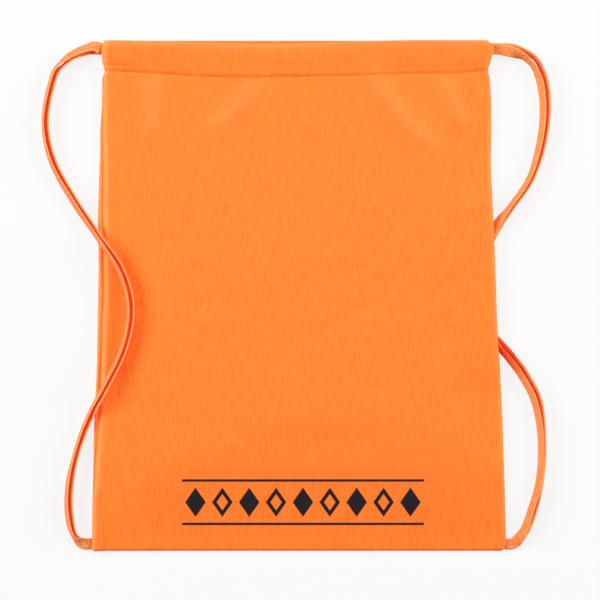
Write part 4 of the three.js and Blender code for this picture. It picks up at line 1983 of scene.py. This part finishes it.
RIGHT_ROUTE = strap_rows([
    (189.1, 219.4, 5.0, (1.4, 14, 3.1), (-1.3, 6, -3.1), 0.0),
    (202.5, 215.4, 5.8, (2.3, 60, 1.6), (-2.3, 66, -1.4), 0.6),
    (208.6, 210.7, 6.3, (2.8, 68), (-3.0, 71)),
    (212.0, 206.6, 6.6, (2.5, 68), (-3.0, 69)),
    (218.1, 190.9, 6.6, (2.2, 58), (-3.0, 66)),
    (220.4, 167.6, 6.6, (1.8, 60), (-3.0, 69)),
    (217.7, 139.0, 6.4, (1.8, 63), (-2.6, 71)),
    (207.0, 104.2, 5.6, (1.2, 68), (-2.1, 75)),
    (190.6, 79.6, 1.9, (1.3, 69), (-1.5, 73)),
    (174.6, 57.7, 1.9, (1.0, 38, 1.5), (-0.9, 40, 1.1), 0.4),
    (163.6, 33.5, 1.9, (0.0, 0, 0.75), (0.0, 0, -0.75), 0.0),
    (161.0, 6.7, 1.9, (0.0, 0, 0.75), (0.0, 0, -0.75), 0.0),
    (167.6, -20.1, 1.9, (1.4, 0, 0.75), (0.8, 0, -0.75), 0.0),
    (175.6, -35.2, 1.9, (4.8, 24, 0.9), (2.8, 24, 0.4), 0.4),
    (180.4, -42.6, 1.9, (3.5, 60), (-0.7, 62)),
    (189.8, -54.4, 2.0, (2.8, 60), (-1.4, 63)),
    (201.0, -71.0, 4.6, (2.0, 60), (-2.9, 68)),
    (212.3, -93.4, 6.6, (1.8, 60), (-3.0, 68)),
    (217.7, -129.2, 6.4, (0.7, 58), (-1.8, 72)),
    (215.9, -164.9, 6.2, (0.4, 55), (-1.7, 75)),
    (209.5, -191.8, 5.4, (1.6, 59), (-2.0, 70)),
    (201.5, -212.0, 3.8, (1.0, 50, 0.3), (-0.9, 58, -0.1), 0.7),
])
FRONT_FOLDS = (
    Fold((-0.131, 0.192), (-0.133, 0.146), 0.0026, 0.0100),
    Fold((-0.036, 0.192), (-0.073, 0.150), 0.0025, 0.0105),
    Fold((0.071, 0.192), (0.117, 0.136), 0.0028, 0.0100, bow=0.004),
    Fold((0.131, 0.192), (0.144, 0.156), 0.0024, 0.0085),
    Fold((0.013, -0.034), (0.073, -0.004), -0.0009, 0.006),
    Fold((-0.070, -0.118), (0.090, -0.118), -0.0007, 0.012, bow=0.012),
)


@dataclass
class Sack:
    """The whole sack: straps and drawcords, turned-in seams, and the stitched panels."""

    shape: SackShape = SackShape()
    exit_spreads: tuple[float, float] = (0.0067, 0.0037)
    left_leans: Table = ((0.0020, 32.0), (0.0, 10.0))
    right_leans: Table = ((0.0006, 8.0), (0.0, 0.0))
    tape_levels: tuple[float, float] = (0.0017, 0.0032)
    seam_width: float = 0.009
    seam_gaps: tuple[float, float] = (0.0053, 0.0003)
    bottom_seam_half: float = 0.1718

    def tapes(self, front: Panel, material: bpy.types.Material) -> None:
        """Make both drawcords, each with its straps, its stretch in the hems and its sewn ends.

        Args:
            front: the panel that the left straps lie on.
            material: the woven tape.
        """
        shape, (wide, narrow), (low, high) = self.shape, self.exit_spreads, self.tape_levels
        left = StrapPair(Side.LEFT, LEFT_ROUTE, wide, self.left_leans, shape, under=front.surface)
        left.build(material)
        StrapPair(Side.RIGHT, RIGHT_ROUTE, narrow, self.right_leans, shape).build(material)
        for side, level in zip(Side, (low, high)):
            HemCord(side, level, shape).build(material)
            for face, end_level in zip(Face, (high, low)):
                SewnEnd(side, face, end_level, shape).build(material)

    def seams(self, material: bpy.types.Material) -> None:
        """Make the turned-in allowances of the three seams, of overlocked cloth.

        Args:
            material: the overlocked cloth.
        """
        shape, width = self.shape, self.seam_width
        low, high = shape.anchor_lane + self.seam_gaps[0], shape.band_end - self.seam_gaps[1]
        for side in Side:
            name = f"{side.label}_side_seam"
            SeamAllowance(name, Vector((0.0, low, 0.0)), high, width, shape, side).build(material)
        start = Vector((-self.bottom_seam_half, 0.0, 0.0))
        SeamAllowance("bottom_seam", start, 0.0, width, shape).build(material)

    def panels(self, front: Panel, thread: bpy.types.Material) -> None:
        """Make both panels and their stitches.

        Args:
            front: the front panel.
            thread: the sewing thread.
        """
        finishes = ((front, ClothFinish("printed_cloth", band=Print())),
                    (Panel(self.shape, Face.BACK), ClothFinish("plain_cloth")))
        for panel, finish in finishes:
            cloth = panel.build(finish.build(), [f"{panel.face.label}_panel"])
            stitches = HemStitching(panel).build(thread)

    def build(self) -> None:
        """Make all the pieces, cords first."""
        front = Panel(self.shape, Face.FRONT, FRONT_FOLDS)
        self.tapes(front, TapeFinish().build())
        self.seams(OverlockFinish().build())
        thread = ThreadFinish().build()
        self.panels(front, thread)
        for side in Side:
            AnchorStitching(side, self.shape).build(thread)


def main() -> None:
    """Build the studio and the sack."""
    logging.basicConfig(level=logging.INFO, format="%(name)s: %(message)s")
    Studio().build()
    Sack().build()


if __name__ == "__main__":
    main()
